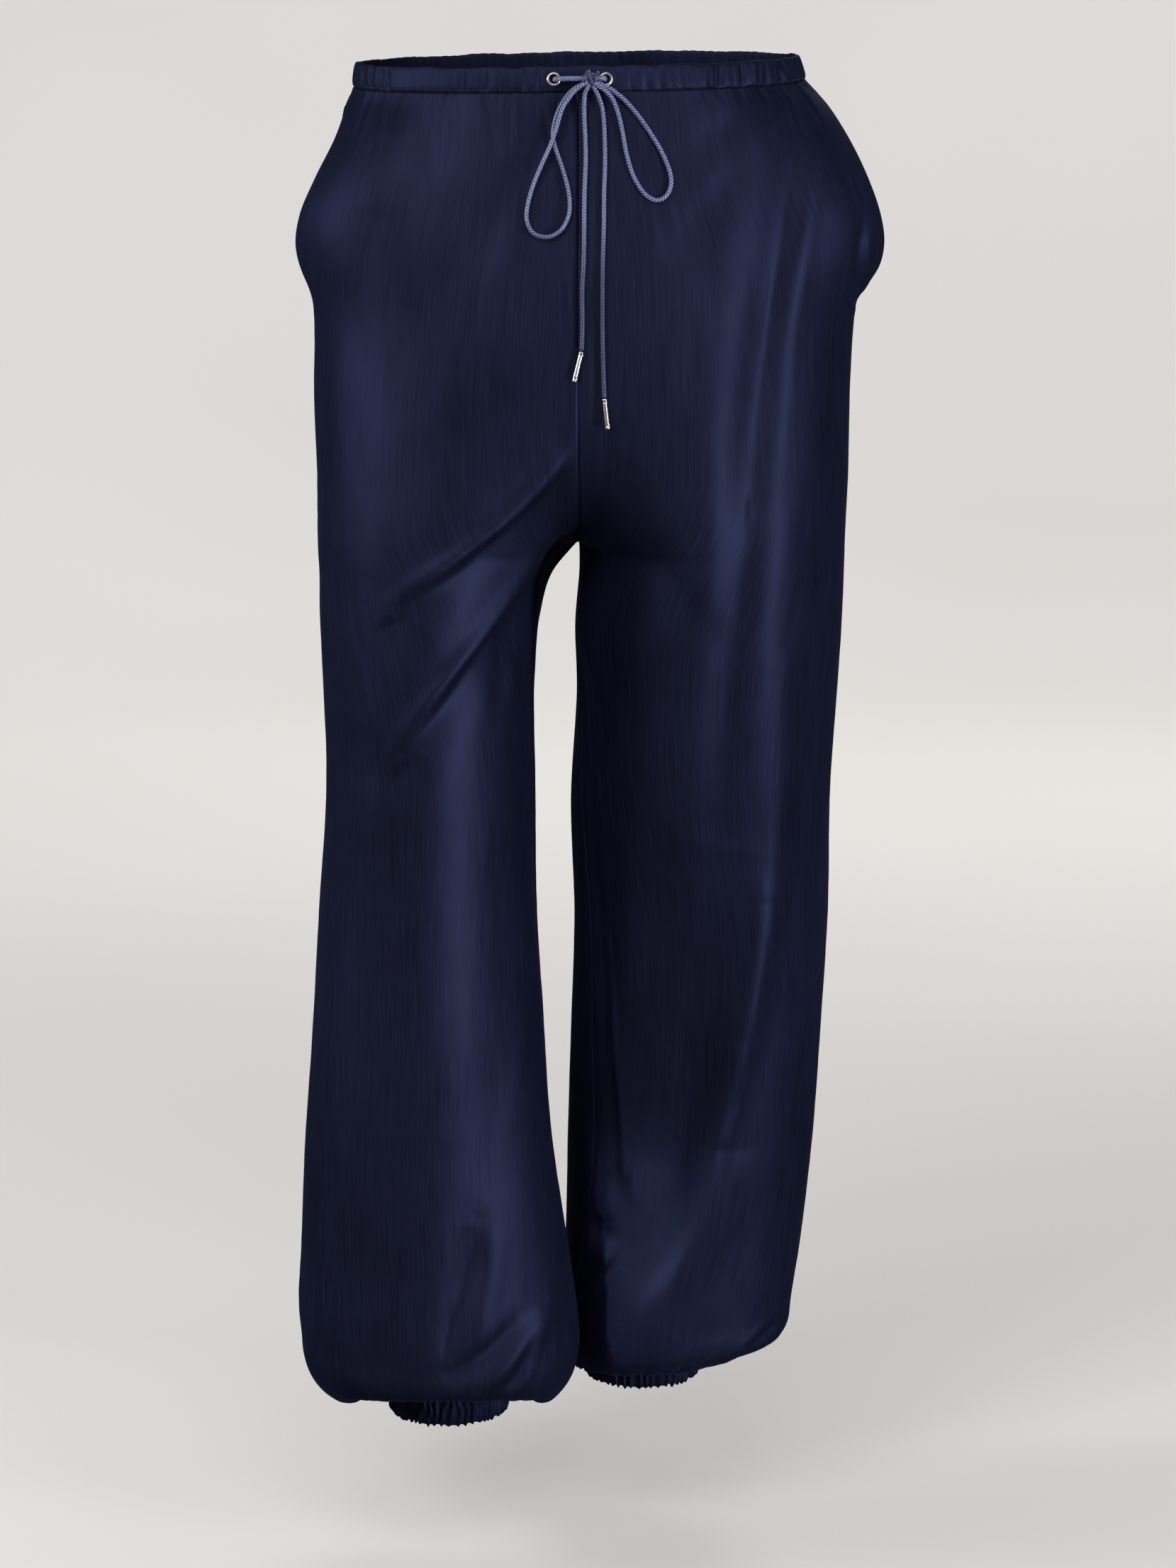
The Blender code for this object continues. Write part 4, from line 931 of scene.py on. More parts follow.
def makePanel(leg, panel):
    name = f"{panel}_{leg}"
    points = panelSurface(leg, panel)
    normals = surfaceNormals(points, leg, panel)
    panelFaces[name] = {"points": points, "normals": normals}
    share = np.broadcast_to(np.linspace(0, 1, points.shape[1]), points.shape[:2])
    row = np.arange(points.shape[0])[:, None]
    hem = panelGrid["torsoSteps"] + panelGrid["legSteps"][panel]
    hemRow = np.broadcast_to(np.maximum(row - hem, 0), share.shape)
    below = points[0, :, 2] - points[..., 2]
    edge = smoothStep(np.minimum(share, 1 - share) / creaseForm["edgeFade"])
    top = smoothStep(below / creaseForm["topFade"])
    end = smoothStep((panelGrid["hemSteps"] - hemRow) / creaseForm["hemFadeRows"])
    push = (creasePush(name, points) + drapePush(name, points, share)) * edge * top * end
    push += topGathers(name, points, share) + hemGathers(name, share, hemRow)
    push += seamPush(points, share)
    width = marksAlong(points[panelGrid["torsoSteps"] // 2])
    down = np.vstack([0 * share[:1], np.cumsum(np.linalg.norm(np.diff(points, axis=0), axis=2), axis=0)])
    uv = np.stack([np.broadcast_to(width, share.shape), down], axis=-1)
    flip = (leg == "left") == (panel == "front")
    data = gridMesh(name, points - normals * push[..., None], uv, flip=flip)
    made = makeShell(f"cloth_{name}", data, shellThickness, satin, satinBack)
    dressNodes(made, "satin", name)


for leg in ("right", "left"):
    for panel in ("front", "back"):
        makePanel(leg, panel)
print("leg panels made")


# Lines round the waist and the rings made from them.
casingForm = {
    "columns": 800,
    "profileSteps": 3,
    "pitch": 7.6 * mm,
    "gatherDepth": 1.0 * mm,
    "unevenness": 1.9,
    "seed": 3,
    # Places of the skin outside the fold, in mm: further out and lower down than these.
    "skin": (-0.6, -6),
    "topWave": 0.8 * mm,
    "waves": 64,
    "waveSeed": 8,
    "waveRows": 6,
    # How much of the gathers each place of the front has, against x in mm.
    "fullness": (
        (-150, 1.0), (-128, 0.9), (-121, 0.15), (-83, 0.15), (-76, 0.8), (-50, 0.7), (-30, 0.3), (-20, 0),
        (22, 0), (32, 0.3), (60, 0.35), (80, 0.7), (100, 0.6), (130, 0.8), (150, 1.0),
    ),
    # Puckers of the front, in mm: x, depth (less than nothing is a ridge), half width.
    "puckers": (
        (-144, 1.2, 1.6), (-138.4, 1.0, 1.5), (-132, 1.9, 1.7), (-127.6, 1.9, 1.6), (-77.7, 1.4, 1.5),
        (-73.9, 1.2, 1.3), (-63.5, 1.5, 1.7), (-59.5, 1.2, 1.4), (-53.5, -1.3, 2.4), (-34, 1.1, 1.7),
        (-25.5, 0.8, 1.6), (35.3, 0.9, 1.7), (45.2, 1.1, 1.7), (54.2, 0.9, 1.6), (87, -1.3, 2.6),
        (94, 1.4, 1.7), (108.8, 1.2, 1.9), (116, -1.3, 2.4), (125, 1.3, 1.9), (135.9, 1.4, 1.7),
        (146.8, 1.5, 1.7),
    ),
    # Share of each panel gather's depth that runs on up into the casing.
    "runOn": 0.45,
    "cut": {"flat": (1.02, 0.019)},
}
# Cross-section of the casing, in mm: out from the waist's line, height, share of the gathers.
casingProfile = (
    (0.3, 0, 0.5), (0.9, -1.5, 0.8), (1.2, -4, 1), (1.3, -8, 1), (1.15, -12, 1), (0.55, -14.4, 0.8),
    (-0.1, -15.6, 0.4), (-0.9, -16.6, 0.2), (-1.7, -15.6, 0.2), (-2.0, -13, 0.3), (-2.1, -8, 0.4),
    (-2.0, -3, 0.3), (-1.6, -0.5, 0.3), (-0.7, 0.3, 0.4),
)
# Cross-section of an ankle cuff, in mm, in the same way, with the height below its top.
cuffProfile = (
    (-0.7, 0, 0.0), (-0.45, -4, 0.1), (0.1, -9.5, 0.4), (0.6, -15, 0.9), (0.6, -20, 1.0), (0.5, -25, 1.0),
    (0.5, -30, 1.0), (0.3, -34.5, 1.0), (-0.2, -37, 0.9), (-1.2, -38, 0.8), (-2.3, -37.4, 0.8),
    (-2.9, -33, 0.7), (-3.0, -20, 0.6), (-2.9, -6, 0.3), (-2.4, -0.4, 0.1), (-1.5, 0.3, 0.0),
)


def closedProfile(profile, steps):
    wrapped = np.array(profile[-2:] + profile + profile[:2], float)
    fine = lineThrough(wrapped, steps)
    return fine[2 * steps:-2 * steps - 1]


def waistLine(height):
    # The waist's outline from the centre front round by the wearer's left, closed, as (x, y).
    lines = []
    for leg, turn in sideSign.items():
        front = halfSection(leg, "front", height) * (turn, 1)
        back = halfSection(leg, "back", height)[::-1] * (turn, 1)
        lines.append(np.vstack([front[:-1], back]))
    return np.vstack([lines[0][:-1], lines[1][::-1]])


def ringAround(line, count):
    # Even points round a closed line, with their outward directions.
    even = evenLine(line, count + 1)[:-1]
    ahead = np.roll(even, -1, axis=0) - np.roll(even, 1, axis=0)
    normals = np.stack([ahead[:, 1], -ahead[:, 0]], axis=1)
    return even, normals / np.linalg.norm(normals, axis=1, keepdims=True)


def ringUv(points):
    # UV in metres: round the ring, and round its cross-section. It has one more line each way.
    closedRows = np.concatenate([points, points[:1]], axis=0)
    closedBoth = np.concatenate([closedRows, closedRows[:, :1]], axis=1)
    around = np.linalg.norm(np.diff(closedBoth, axis=1), axis=2).mean(axis=0)
    through = np.linalg.norm(np.diff(closedBoth, axis=0), axis=2).mean(axis=1)
    return gridUv(np.concatenate([[0], np.cumsum(around)]), np.concatenate([[0], np.cumsum(through)]))


def newTree(name, *sizes):
    # A Geometry Nodes group that takes a geometry, its named sizes and a material.
    tree = bpy.data.node_groups.new(name, "GeometryNodeTree")
    sockets = [("Geometry", "INPUT", "Geometry"), *((size, "INPUT", "Float") for size in sizes),
               ("Material", "INPUT", "Material"), ("Geometry", "OUTPUT", "Geometry")]
    for label, way, kind in sockets:
        tree.interface.new_socket(label, in_out=way, socket_type=f"NodeSocket{kind}")
    return tree, addNode(tree, "NodeGroupInput").outputs


def endTree(tree, given, shape):
    dressed = addNode(tree, "GeometryNodeSetMaterial", {"Geometry": shape, "Material": given["Material"]})
    addNode(tree, "NodeGroupOutput", {0: dressed})
    return tree


def gatherTree():
    # Pushes a ring's skin in and out along its normals, in uneven folds of a named pitch and depth.
    sizes = ("Pitch", "Depth", "Unevenness", "Seed")
    tree, given = newTree("elastic gathers", *sizes)
    values = {size: given[size] for size in sizes}
    for name in ("around", "down", "gathered"):
        values[name] = addNode(tree, "GeometryNodeInputNamedAttribute", {"Name": name})
    # Two noises, with their sizes in pitches and in metres: one shifts the folds, one varies their depth.
    for name, pitches, stretch, offset in (("drift", 2.6, 0.02, 0.0), ("swell", 1.7, 0.03, 7.0)):
        size = addNode(tree, "ShaderNodeMath", {0: given["Pitch"], 1: pitches}, operation="MULTIPLY")
        place = addNode(tree, "ShaderNodeCombineXYZ", {
            "X": addNode(tree, "ShaderNodeMath", {0: values["around"], 1: size}, operation="DIVIDE"),
            "Y": addNode(tree, "ShaderNodeMath", {0: values["down"], 1: stretch}, operation="DIVIDE"),
            "Z": addNode(tree, "ShaderNodeMath", {0: given["Seed"], 1: offset}, operation="ADD"),
        })
        values[name] = addNode(tree, "ShaderNodeTexNoise", {"Vector": place, "Scale": 1.0, "Detail": 1.0})
    # The wave is an arched fold, rounder than a sine, about its middle height.
    for name, operation, first, second in (
        ("drift", "SUBTRACT", "drift", 0.5),
        ("drift", "MULTIPLY", "drift", "Unevenness"),
        ("phase", "DIVIDE", "around", "Pitch"),
        ("phase", "ADD", "phase", "drift"),
        ("phase", "MULTIPLY", "phase", math.pi),
        ("wave", "SINE", "phase", 0.0),
        ("wave", "ABSOLUTE", "wave", 0.0),
        ("wave", "POWER", "wave", 0.7),
        ("wave", "SUBTRACT", "wave", 0.62),
        ("swell", "MULTIPLY", "swell", 1.9),
        ("wave", "MULTIPLY", "wave", "swell"),
        ("reach", "MULTIPLY", "Depth", "gathered"),
        ("push", "MULTIPLY", "wave", "reach"),
    ):
        links = {0: values.get(first, first), 1: values.get(second, second)}
        values[name] = addNode(tree, "ShaderNodeMath", links, operation=operation)
    normal = addNode(tree, "GeometryNodeInputNormal")
    offset = addNode(tree, "ShaderNodeVectorMath", {0: normal, "Scale": values["push"]}, operation="SCALE")
    return endTree(tree, given, addNode(tree, "GeometryNodeSetPosition", {
        "Geometry": given["Geometry"], "Offset": offset,
    }))


def setInputs(modifier, values):
    for item in modifier.node_group.interface.items_tree:
        if item.in_out == "INPUT" and item.name in values:
            modifier[item.identifier] = values[item.name]


def gatherRing(name, points, masks, material, form, seed):
    # A closed band with its gathers; it returns the object and the band's points after gathering.
    uv = ringUv(points)
    data = gridMesh(name, points, uv, wrapColumns=True, wrapRows=True)
    layers = {"around": uv[:-1, :-1, 0], "down": points[..., 2], "gathered": masks}
    for label, values in layers.items():
        layer = data.attributes.new(label, "FLOAT", "POINT")
        layer.data.foreach_set("value", np.ascontiguousarray(values, np.float32).ravel())
    made = newObject(name, data, material)
    gather = made.modifiers.new("elastic gathers", "NODES")
    gather.node_group = gathers
    setInputs(gather, {
        "Pitch": form["pitch"], "Depth": form["gatherDepth"], "Unevenness": form["unevenness"],
        "Seed": float(seed), "Material": material,
    })
    settle(made)
    for label in layers:
        made.data.attributes.remove(made.data.attributes[label])
    moved = np.empty(len(made.data.vertices) * 3, np.float32)
    made.data.vertices.foreach_get("co", moved)
    turnOutwards(made)
    return made, moved.reshape(points.shape).astype(float)


def turnOutwards(made):
    mesh = bmesh.new()
    mesh.from_mesh(made.data)
    bmesh.ops.recalc_face_normals(mesh, faces=mesh.faces)
    mesh.to_mesh(made.data)
    mesh.free()


gathers = gatherTree()


def makeCasing(form):
    top, topOut = ringAround(waistLine(0.0), form["columns"])
    low, lowOut = ringAround(waistLine(-bodyForm["casingHeight"]), form["columns"])
    around = np.arange(form["columns"]) / form["columns"] * form["waves"]
    wave = softNoise(around, 0 * around, form["waveSeed"]) * form["topWave"]
    rows, masks = [], []
    for out, height, gathered in closedProfile(casingProfile, form["profileSteps"]):
        share = np.clip(-height * mm / bodyForm["casingHeight"], 0, 1)
        flat, outward = top * (1 - share) + low * share, topOut * (1 - share) + lowOut * share
        front = flat[:, 1] < 0
        x = flat[:, 0] / mm
        push = sum(depth * np.exp(-((x - at) / width) ** 2) for at, depth, width in form["puckers"])
        flat = flat + outward * (out - push * front * gathered)[:, None] * mm
        point = np.column_stack([flat, height * mm + wave * smoothStep(1 + height / form["waveRows"])])
        rows.append(tiltWaist(point))
        fullness = np.interp(flat[:, 0] / mm, *zip(*form["fullness"]))
        masks.append(np.where(front, fullness, 1.0) * gathered)
    points, masks = np.array(rows), np.array(masks)
    # Puckers where the gathers of the panels run up into the casing.
    for side in ("right", "left"):
        for across, depth, width, *_ in frontGathers[f"front_{side}"]:
            x = across * mm * sideSign[side]
            near = np.exp(-((points[..., 0] - x) / (width * mm)) ** 2) * (points[..., 1] < 0)
            points[..., 1] += form["runOn"] * depth * mm * near * masks
    made, moved = gatherRing("cloth_waist_casing", points[:, ::-1], masks[:, ::-1], satin, form,
                             form["seed"])
    dressNodes(made, "satin", "waist_casing")
    return made, moved


casing, casingRing = makeCasing(casingForm)


def makeCuff(leg, form):
    centre, depth = (value * mm for value in form["centres"][leg])
    angle = np.linspace(0, 2 * np.pi, form["columns"], endpoint=False)
    wave = softNoise(angle * form["waveRate"], 0 * angle, form["waveSeed"] + len(leg)) * np.sin(angle / 2)
    rows, masks = [], []
    for out, height, gathered in closedProfile(cuffProfile, form["profileSteps"]):
        wide, deep = form["halfWidth"] + out * mm, form["halfDepth"] + out * mm
        x = centre * sideSign[leg] + wide * np.cos(angle)
        y = depth + deep * np.sin(angle)
        z = form["top"] + height * mm + form["edgeWave"] * wave * smoothStep(-height / form["height"])
        rows.append(np.column_stack([x, y, z]))
        masks.append(np.full(len(angle), gathered))
    made, _ = gatherRing(f"cloth_cuff_{leg}", np.array(rows), np.array(masks), shadedCuffSatin, form,
                         form["seed"] + len(leg))
    dressNodes(made, "satin", f"cuff_{leg}")


for leg in ("right", "left"):
    makeCuff(leg, cuffForm)
print("casing and cuffs made")


# Pocket bags, seen through the open mouths.
pocketForm = {
    "thickness": 0.7 * mm,
    "panelWall": 1.8 * mm,
    "layer": 1.6 * mm,
    "wall": 1.2 * mm,
    "bag": 7 * mm,
    "narrows": 0.7,
    "edgeClear": 0.8 * mm,
    "creaseFade": 40 * mm,
    "closing": 1.5,
    "tip": 0.55,
    "tipSteps": 9,
    "rows": 9,
    "share": 6 / 14,
    "mouthRows": (1, 5),
    "uvSize": 0.24,
    "cut": {"flat": (0.25, 0.26), "area": 0.04},
}


def makePocket(leg, form):
    front, back = panelFaces[f"front_{leg}"], panelFaces[f"back_{leg}"]
    columns, torsoSteps = panelGrid["columns"], panelGrid["torsoSteps"]
    torsoRow = bodyForm["torsoRows"] * np.linspace(0, 1, torsoSteps + 1) ** panelGrid["topCrowding"]
    rows = int(np.searchsorted(torsoRow, form["rows"])) + 1
    picked = columns - np.arange(0, round(form["share"] * columns) + 1, 2)
    low, high = form["mouthRows"]
    depth = form["panelWall"] + form["layer"] + form["wall"] / 2
    turn = np.linspace(0, np.pi, form["tipSteps"])[1:-1, None]
    share = np.linspace(0, 1, len(picked))[:, None]
    lines = []
    for row, number in enumerate(torsoRow[:rows]):
        bag = form["bag"] * (1 - form["narrows"] * max(number - high, 0) / (form["rows"] - high))
        points, normals = front["points"][row, picked], front["normals"][row, picked]
        fade = smoothStep(-points[:, 2] / form["creaseFade"])
        creased = creasePush(f"front_{leg}", points[None])[0] * fade
        sheet = points - normals * (depth + np.maximum(creased, 0))[:, None]
        away = back["normals"][row, -1] + back["normals"][row, -6]
        edge = back["points"][row, -1] - away / np.linalg.norm(away) * (depth + form["edgeClear"])
        opened = float(smoothStep(number / low) * smoothStep(high + 1 - number))
        gape = (edge - (sheet[0] - normals[0] * bag)) * opened
        behind = sheet - normals * bag + gape * (1 - share) ** form["closing"]
        forward = sheet[-1] - sheet[-2]
        forward = forward / np.linalg.norm(forward)
        middle, half = (sheet[-1] + behind[-1]) / 2, (sheet[-1] - behind[-1]) / 2
        tip = middle + half * np.cos(turn) + forward * bag * form["tip"] * np.sin(turn)
        lines.append(np.vstack([sheet, tip, behind[::-1]]))
    points = np.array(lines)
    uv = gridUv(*(np.linspace(0, form["uvSize"], count) for count in points.shape[1::-1]))
    made = makeShell(f"cloth_pocket_{leg}", gridMesh(f"pocket_{leg}", points, uv), form["thickness"],
                     pocketing, pocketing, offset=0)
    turnOutwards(made)
    dressNodes(made, "pocketing", f"pocket_{leg}")


for leg in ("right", "left"):
    makePocket(leg, pocketForm)
print("pocket bags made")


# Eyelets: turned nickel rings with a rolled flange, each through a round hole in the casing.
eyeletForm = {
    "offsets": {"right": -16.0 * mm, "left": 18.4 * mm},
    "height": -3.6 * mm,
    "lean": math.radians(4.5),
    "frontRadius": 210 * mm,
    "bulge": 1.2 * mm,
    "faceSteps": 400,
    "holeRadius": 3.6 * mm,
    "holeSides": 32,
    "cutLength": 16 * mm,
    "steps": 64,
    "profileSteps": 3,
    # Radius and height above the casing's face, in mm, round the ring's section.
    "profile": (
        (2.85, -3.6), (2.85, -1), (2.86, 0.4), (2.95, 0.95), (3.2, 1.35), (3.6, 1.52), (4.1, 1.45),
        (4.5, 1.15), (4.75, 0.8), (4.8, 0.55), (4.7, 0.46), (4.2, 0.48), (3.6, 0.5), (3.36, 0.3),
        (3.34, -3.6),
    ),
}


def eyeletFrame(form, offset):
    # Turn and place of an eyelet, on the casing's face and square to it.
    even, outward = ringAround(waistLine(-bodyForm["casingHeight"] / 2), form["faceSteps"])
    ring = even + outward * form["bulge"]
    front = ring[ring[:, 1] < 0]
    near = front[np.argmin(np.abs(front[:, 0] - offset))]
    turn = math.atan2(offset, form["frontRadius"])
    spin = Matrix.Rotation(turn, 4, "Z") @ Matrix.Rotation(math.pi / 2 - form["lean"], 4, "X")
    return Matrix.Translation((offset, near[1], form["height"])) @ spin


# Nickel-plated brass: pale warm grey metal with a soft brushed gloss and faint handling marks.
nickelLook = {
    "dark": "#b9b6ae", "light": "#d9d6cd", "metallic": 1.0, "roughness": (0.2, 0.38), "bump": 0.05,
    "scale": 900.0, "detail": 3.0,
}


def makeFlecked(name, look):
    # One fine noise gives the colour, the gloss and the bump.
    material, tree, shader = newMaterial(name)
    coords = addNode(tree, "ShaderNodeTexCoord").outputs["Object"]
    fleck = addNode(tree, "ShaderNodeTexNoise", {
        "Vector": coords, "Scale": look["scale"], "Detail": look["detail"],
    })
    colour = addNode(tree, "ShaderNodeMix", {0: fleck, 6: look["dark"], 7: look["light"]}, data_type="RGBA")
    low, high = look["roughness"]
    rough = addNode(tree, "ShaderNodeMapRange", {"Value": fleck, "To Min": low, "To Max": high})
    bump = addNode(tree, "ShaderNodeBump", {"Height": fleck, "Strength": look["bump"], "Distance": 0.1 * mm})
    feedNode(tree, shader, {
        "Base Color": colour.outputs[2], "Roughness": rough, "Normal": bump, "Metallic": look["metallic"],
    })
    return material


nickel = makeFlecked("nickel-plated brass", nickelLook)


def makeEyelet(side, form):
    place = eyeletFrame(form, form["offsets"][side])
    turn, middle = np.array(place)[:3, :3], np.array(place)[:3, 3]
    profile = lineThrough(form["profile"], form["profileSteps"]) * mm
    points = turned(*profile.T, form["steps"]) @ turn.T + middle
    data = gridMesh("eyelet ring", points, ringUv(points), wrapColumns=True, wrapRows=True)
    made = newObject(f"eyelet_ring_{side}", data, nickel)
    turnOutwards(made)
    dressNodes(made, "nickel", f"eyelet_{side}")
    cutter = bpy.data.meshes.new("hole")
    mesh = bmesh.new()
    bmesh.ops.create_cone(mesh, cap_ends=True, segments=form["holeSides"], radius1=form["holeRadius"],
                          radius2=form["holeRadius"], depth=form["cutLength"], matrix=place)
    mesh.to_mesh(cutter)
    mesh.free()
    hole = newObject("hole", cutter)
    cut = casing.modifiers.new("hole", "BOOLEAN")
    cut.object, cut.operation, cut.solver = hole, "DIFFERENCE", "EXACT"
    settle(casing)
    bpy.data.objects.remove(hole)


for side in ("right", "left"):
    makeEyelet(side, eyeletForm)
print("eyelets made")


# The drawstring: two satin rat-tail cords, each from its eyelet into the knot, round its loop and down.
cordForm = {
    "diameter": 3.2 * mm,
    "step": 1.5 * mm,
    "routeSteps": 10,
    "sides": 16,
    "flatten": 0.88,
    "exits": {"right": (-16 * mm, -112 * mm, -3.6 * mm), "left": (18.4 * mm, -112 * mm, -3.6 * mm)},
}
# Routes in mm: across, depth, height. They repeat the routes of the solids, joined inside the knot.
cordRoutes = {
    "right": (
        (-15.4, -105, -3.6), (-15.5, -110, -3.6), (-14.9, -113, -3.5), (-11.4, -114.5, -3.3),
        (-5.5, -114.4, -3), (0.7, -114.3, -3.1), (4.6, -114.6, -3.2), (5.8, -115.8, -4.6),
        (4.6, -116.6, -6.2), (2.2, -116.8, -7.6), (-1.5, -116.4, -10.5), (-5.5, -116.3, -15),
        (-10.5, -116.7, -23), (-14.5, -118, -36), (-18.5, -118.6, -47), (-24, -118.8, -59),
        (-30.5, -119.6, -75), (-34, -121.2, -90), (-33, -122.4, -98.5), (-29.5, -123, -103.8),
        (-24, -123.3, -106), (-18.5, -123.3, -106), (-12.8, -122.9, -103), (-8.6, -122.2, -98),
        (-5.6, -121, -89), (-6.4, -119.4, -76), (-10.5, -117.4, -61), (-14.4, -115.9, -50),
        (-16.6, -114.8, -41), (-15.4, -113.5, -31), (-11.6, -112.8, -21), (-6.6, -112.4, -13.6),
        (-2.2, -112.4, -9.4), (1.6, -112.6, -7.4), (4.8, -113.2, -5.6), (7.2, -114.6, -5.2),
        (7, -115.4, -7), (6.2, -115.4, -9.2), (4.4, -114.6, -14), (4, -114.2, -26), (4.8, -115.4, -43),
        (5, -117.2, -58), (4.2, -119.8, -78), (4, -122.4, -100), (3.8, -124.7, -121), (2.8, -126.7, -143),
        (3, -127.9, -163), (2.4, -128.8, -181),
    ),
    "left": (
        (17.9, -105, -3.6), (17.9, -109.8, -3.6), (17.8, -112, -3.3), (17.2, -113.6, -3),
        (16, -114.4, -2.8), (13, -114.8, -2.6), (10.6, -115.6, -3.6), (11.4, -116.6, -5.8),
        (13.6, -116.8, -7.8), (17.6, -116.2, -10.5), (22.6, -115, -16), (26.6, -115, -26),
        (29.4, -115.6, -38), (32, -116.8, -52), (36.4, -118.2, -66), (43, -119.6, -77),
        (49.5, -119.9, -81.8), (55.5, -119.4, -81.6), (60, -118.4, -77), (61.6, -117.2, -70),
        (60, -116, -62), (55, -114.7, -50.5), (48, -113.5, -39), (39.4, -112.8, -27), (31.4, -112.8, -17.8),
        (24.4, -112.4, -12), (19.8, -112.9, -8.9), (15.9, -113.2, -7.4), (12.2, -113.4, -5.6),
        (9.4, -114, -4.8), (9.2, -115.2, -6.6), (10.6, -115.6, -9.1), (13.6, -115, -15),
        (16.2, -113.4, -24), (17.4, -114.7, -38), (17.8, -117.2, -58), (17.2, -120, -78),
        (17, -122.7, -100), (16.4, -125, -121), (16.2, -127, -143), (16.2, -128.3, -168),
        (16.6, -129.2, -190), (17.4, -129.7, -212),
    ),
}


def tubePoints(path, radius, sides, flatten=1.0):
    # Rings of a tube along a path, carried along without twist, with uv in metres.
    tangents = np.gradient(path, axis=0)
    tangents /= np.linalg.norm(tangents, axis=1, keepdims=True)
    side = np.cross(tangents[0], (0.0, 1.0, 0.0))
    if np.linalg.norm(side) < 0.2:  # the path starts front to back
        side = np.cross(tangents[0], (1.0, 0.0, 0.0))
    sidesAlong = []
    for tangent in tangents:
        side = side - tangent * np.dot(side, tangent)
        side = side / np.linalg.norm(side)
        sidesAlong.append(side)
    first = np.array(sidesAlong)[:, None]
    second = np.cross(tangents, np.array(sidesAlong))[:, None]
    angle = np.linspace(0, 2 * np.pi, sides, endpoint=False)[None, :, None]
    radius = np.broadcast_to(np.asarray(radius, float), (len(path),))[:, None, None]
    points = path[:, None] + radius * (np.cos(angle) * first + flatten * np.sin(angle) * second)
    return points, gridUv(np.linspace(0, 2 * np.pi, sides + 1) * float(radius.max()), marksAlong(path))


cordLook = {
    "braidPitch": 2.1 * mm,
    "slant": 0.9,
    "braidShare": 0.18,
    "speck": (0.5 * mm, 0.9 * mm),
    "contrast": (0.38, 0.64),
    "roughness": 0.36,
    "bump": 0.35,
    "sheen": 0.6,
    "sheenRoughness": 0.35,
    "sheenTint": "#b9bdf0",
    # Heights between which the flat bow's painted sheen turns into the painted shade of the hanging tails.
    "turns": (-132 * mm, -92 * mm),
}


def makeCordCloth(name, paintedSheenPair, paintedShadePair, look):
    # Rayon satin rat-tail with a fine slanted braid. Its colours hold painted light: a painted sheen where
    # the bow lies flat, and painted shade that makes it darker where the tails hang twisted.
    material, tree, shader = newMaterial(name)
    coords = addNode(tree, "ShaderNodeTexCoord")
    around = addNode(tree, "ShaderNodeSeparateXYZ", {0: coords.outputs["UV"]}).outputs
    slant = addNode(tree, "ShaderNodeMath", {0: around["X"], 1: look["slant"], 2: around["Y"]},
                    operation="MULTIPLY_ADD")
    turns = addNode(tree, "ShaderNodeMath", {0: slant, 1: 2 * math.pi / look["braidPitch"]},
                    operation="MULTIPLY")
    plait = addNode(tree, "ShaderNodeMath", {0: turns}, operation="SINE")
    speck = clothNoise(tree, coords.outputs["UV"], *look["speck"], detail=1.0)
    tone = addNode(tree, "ShaderNodeMath", {0: plait, 1: look["braidShare"], 2: speck},
                   operation="MULTIPLY_ADD")
    low, high = look["contrast"]
    tone = addNode(tree, "ShaderNodeMapRange", {"Value": tone, "From Min": low, "From Max": high})
    # Painted light: one mix gives the tails' colours with painted shade, the other the bow's with painted
    # sheen.
    paintedShadeColour, paintedSheenColour = (
        addNode(tree, "ShaderNodeMix", {0: tone, 6: pair[0], 7: pair[1]}, data_type="RGBA").outputs[2]
        for pair in (paintedShadePair, paintedSheenPair)
    )
    height = addNode(tree, "ShaderNodeSeparateXYZ", {0: coords.outputs["Object"]}).outputs["Z"]
    low, high = look["turns"]
    raised = addNode(tree, "ShaderNodeMapRange", {"Value": height, "From Min": low, "From Max": high})
    colour = addNode(tree, "ShaderNodeMix", {0: raised, 6: paintedShadeColour, 7: paintedSheenColour}, data_type="RGBA")
    bump = addNode(tree, "ShaderNodeBump", {"Height": tone, "Strength": look["bump"], "Distance": 0.25 * mm})
    feedNode(tree, shader, {
        "Base Color": colour.outputs[2], "Roughness": look["roughness"], "Normal": bump,
        "Sheen Weight": look["sheen"], "Sheen Roughness": look["sheenRoughness"],
        "Sheen Tint": look["sheenTint"],
    })
    return material


# Cord colours: the first pair has painted sheen for the bow, the second painted shade for the tails.
cordCloth = makeCordCloth("rayon satin cord", ("#23263f", "#878cb8"), ("#0d0f20", "#454a72"), cordLook)
# The knot is the same cord in darker colours all over: painted shade of the tight knot.
shadedKnotCord = makeCordCloth("rayon satin cord, painted shade of the knot", ("#141629", "#3c406a"), ("#141629", "#3c406a"),
                          cordLook)


# Cord ends: pressed nickel tubes with a rolled lip and a punched dent near each end, in mm.
agletForm = {
    "axes": {
        "right": ((2.3, -128.9, -181.5), (-2.6, -129.5, -201.6)),
        "left": ((17.45, -129.8, -212.5), (19.8, -130, -233)),
    },
    "radius": 1.62,
    "sides": 28,
    "endRows": (0, 0.1, 0.4),
    "rows": {"start": 0.8, "count": 60},
    "lip": 0.5,
    "bead": {"height": 0.06, "place": 0.8, "width": 0.4},
    "dent": {"place": 2.4, "offset": (0.25, -1.6, 0), "depth": 0.6, "width": 0.75},
}


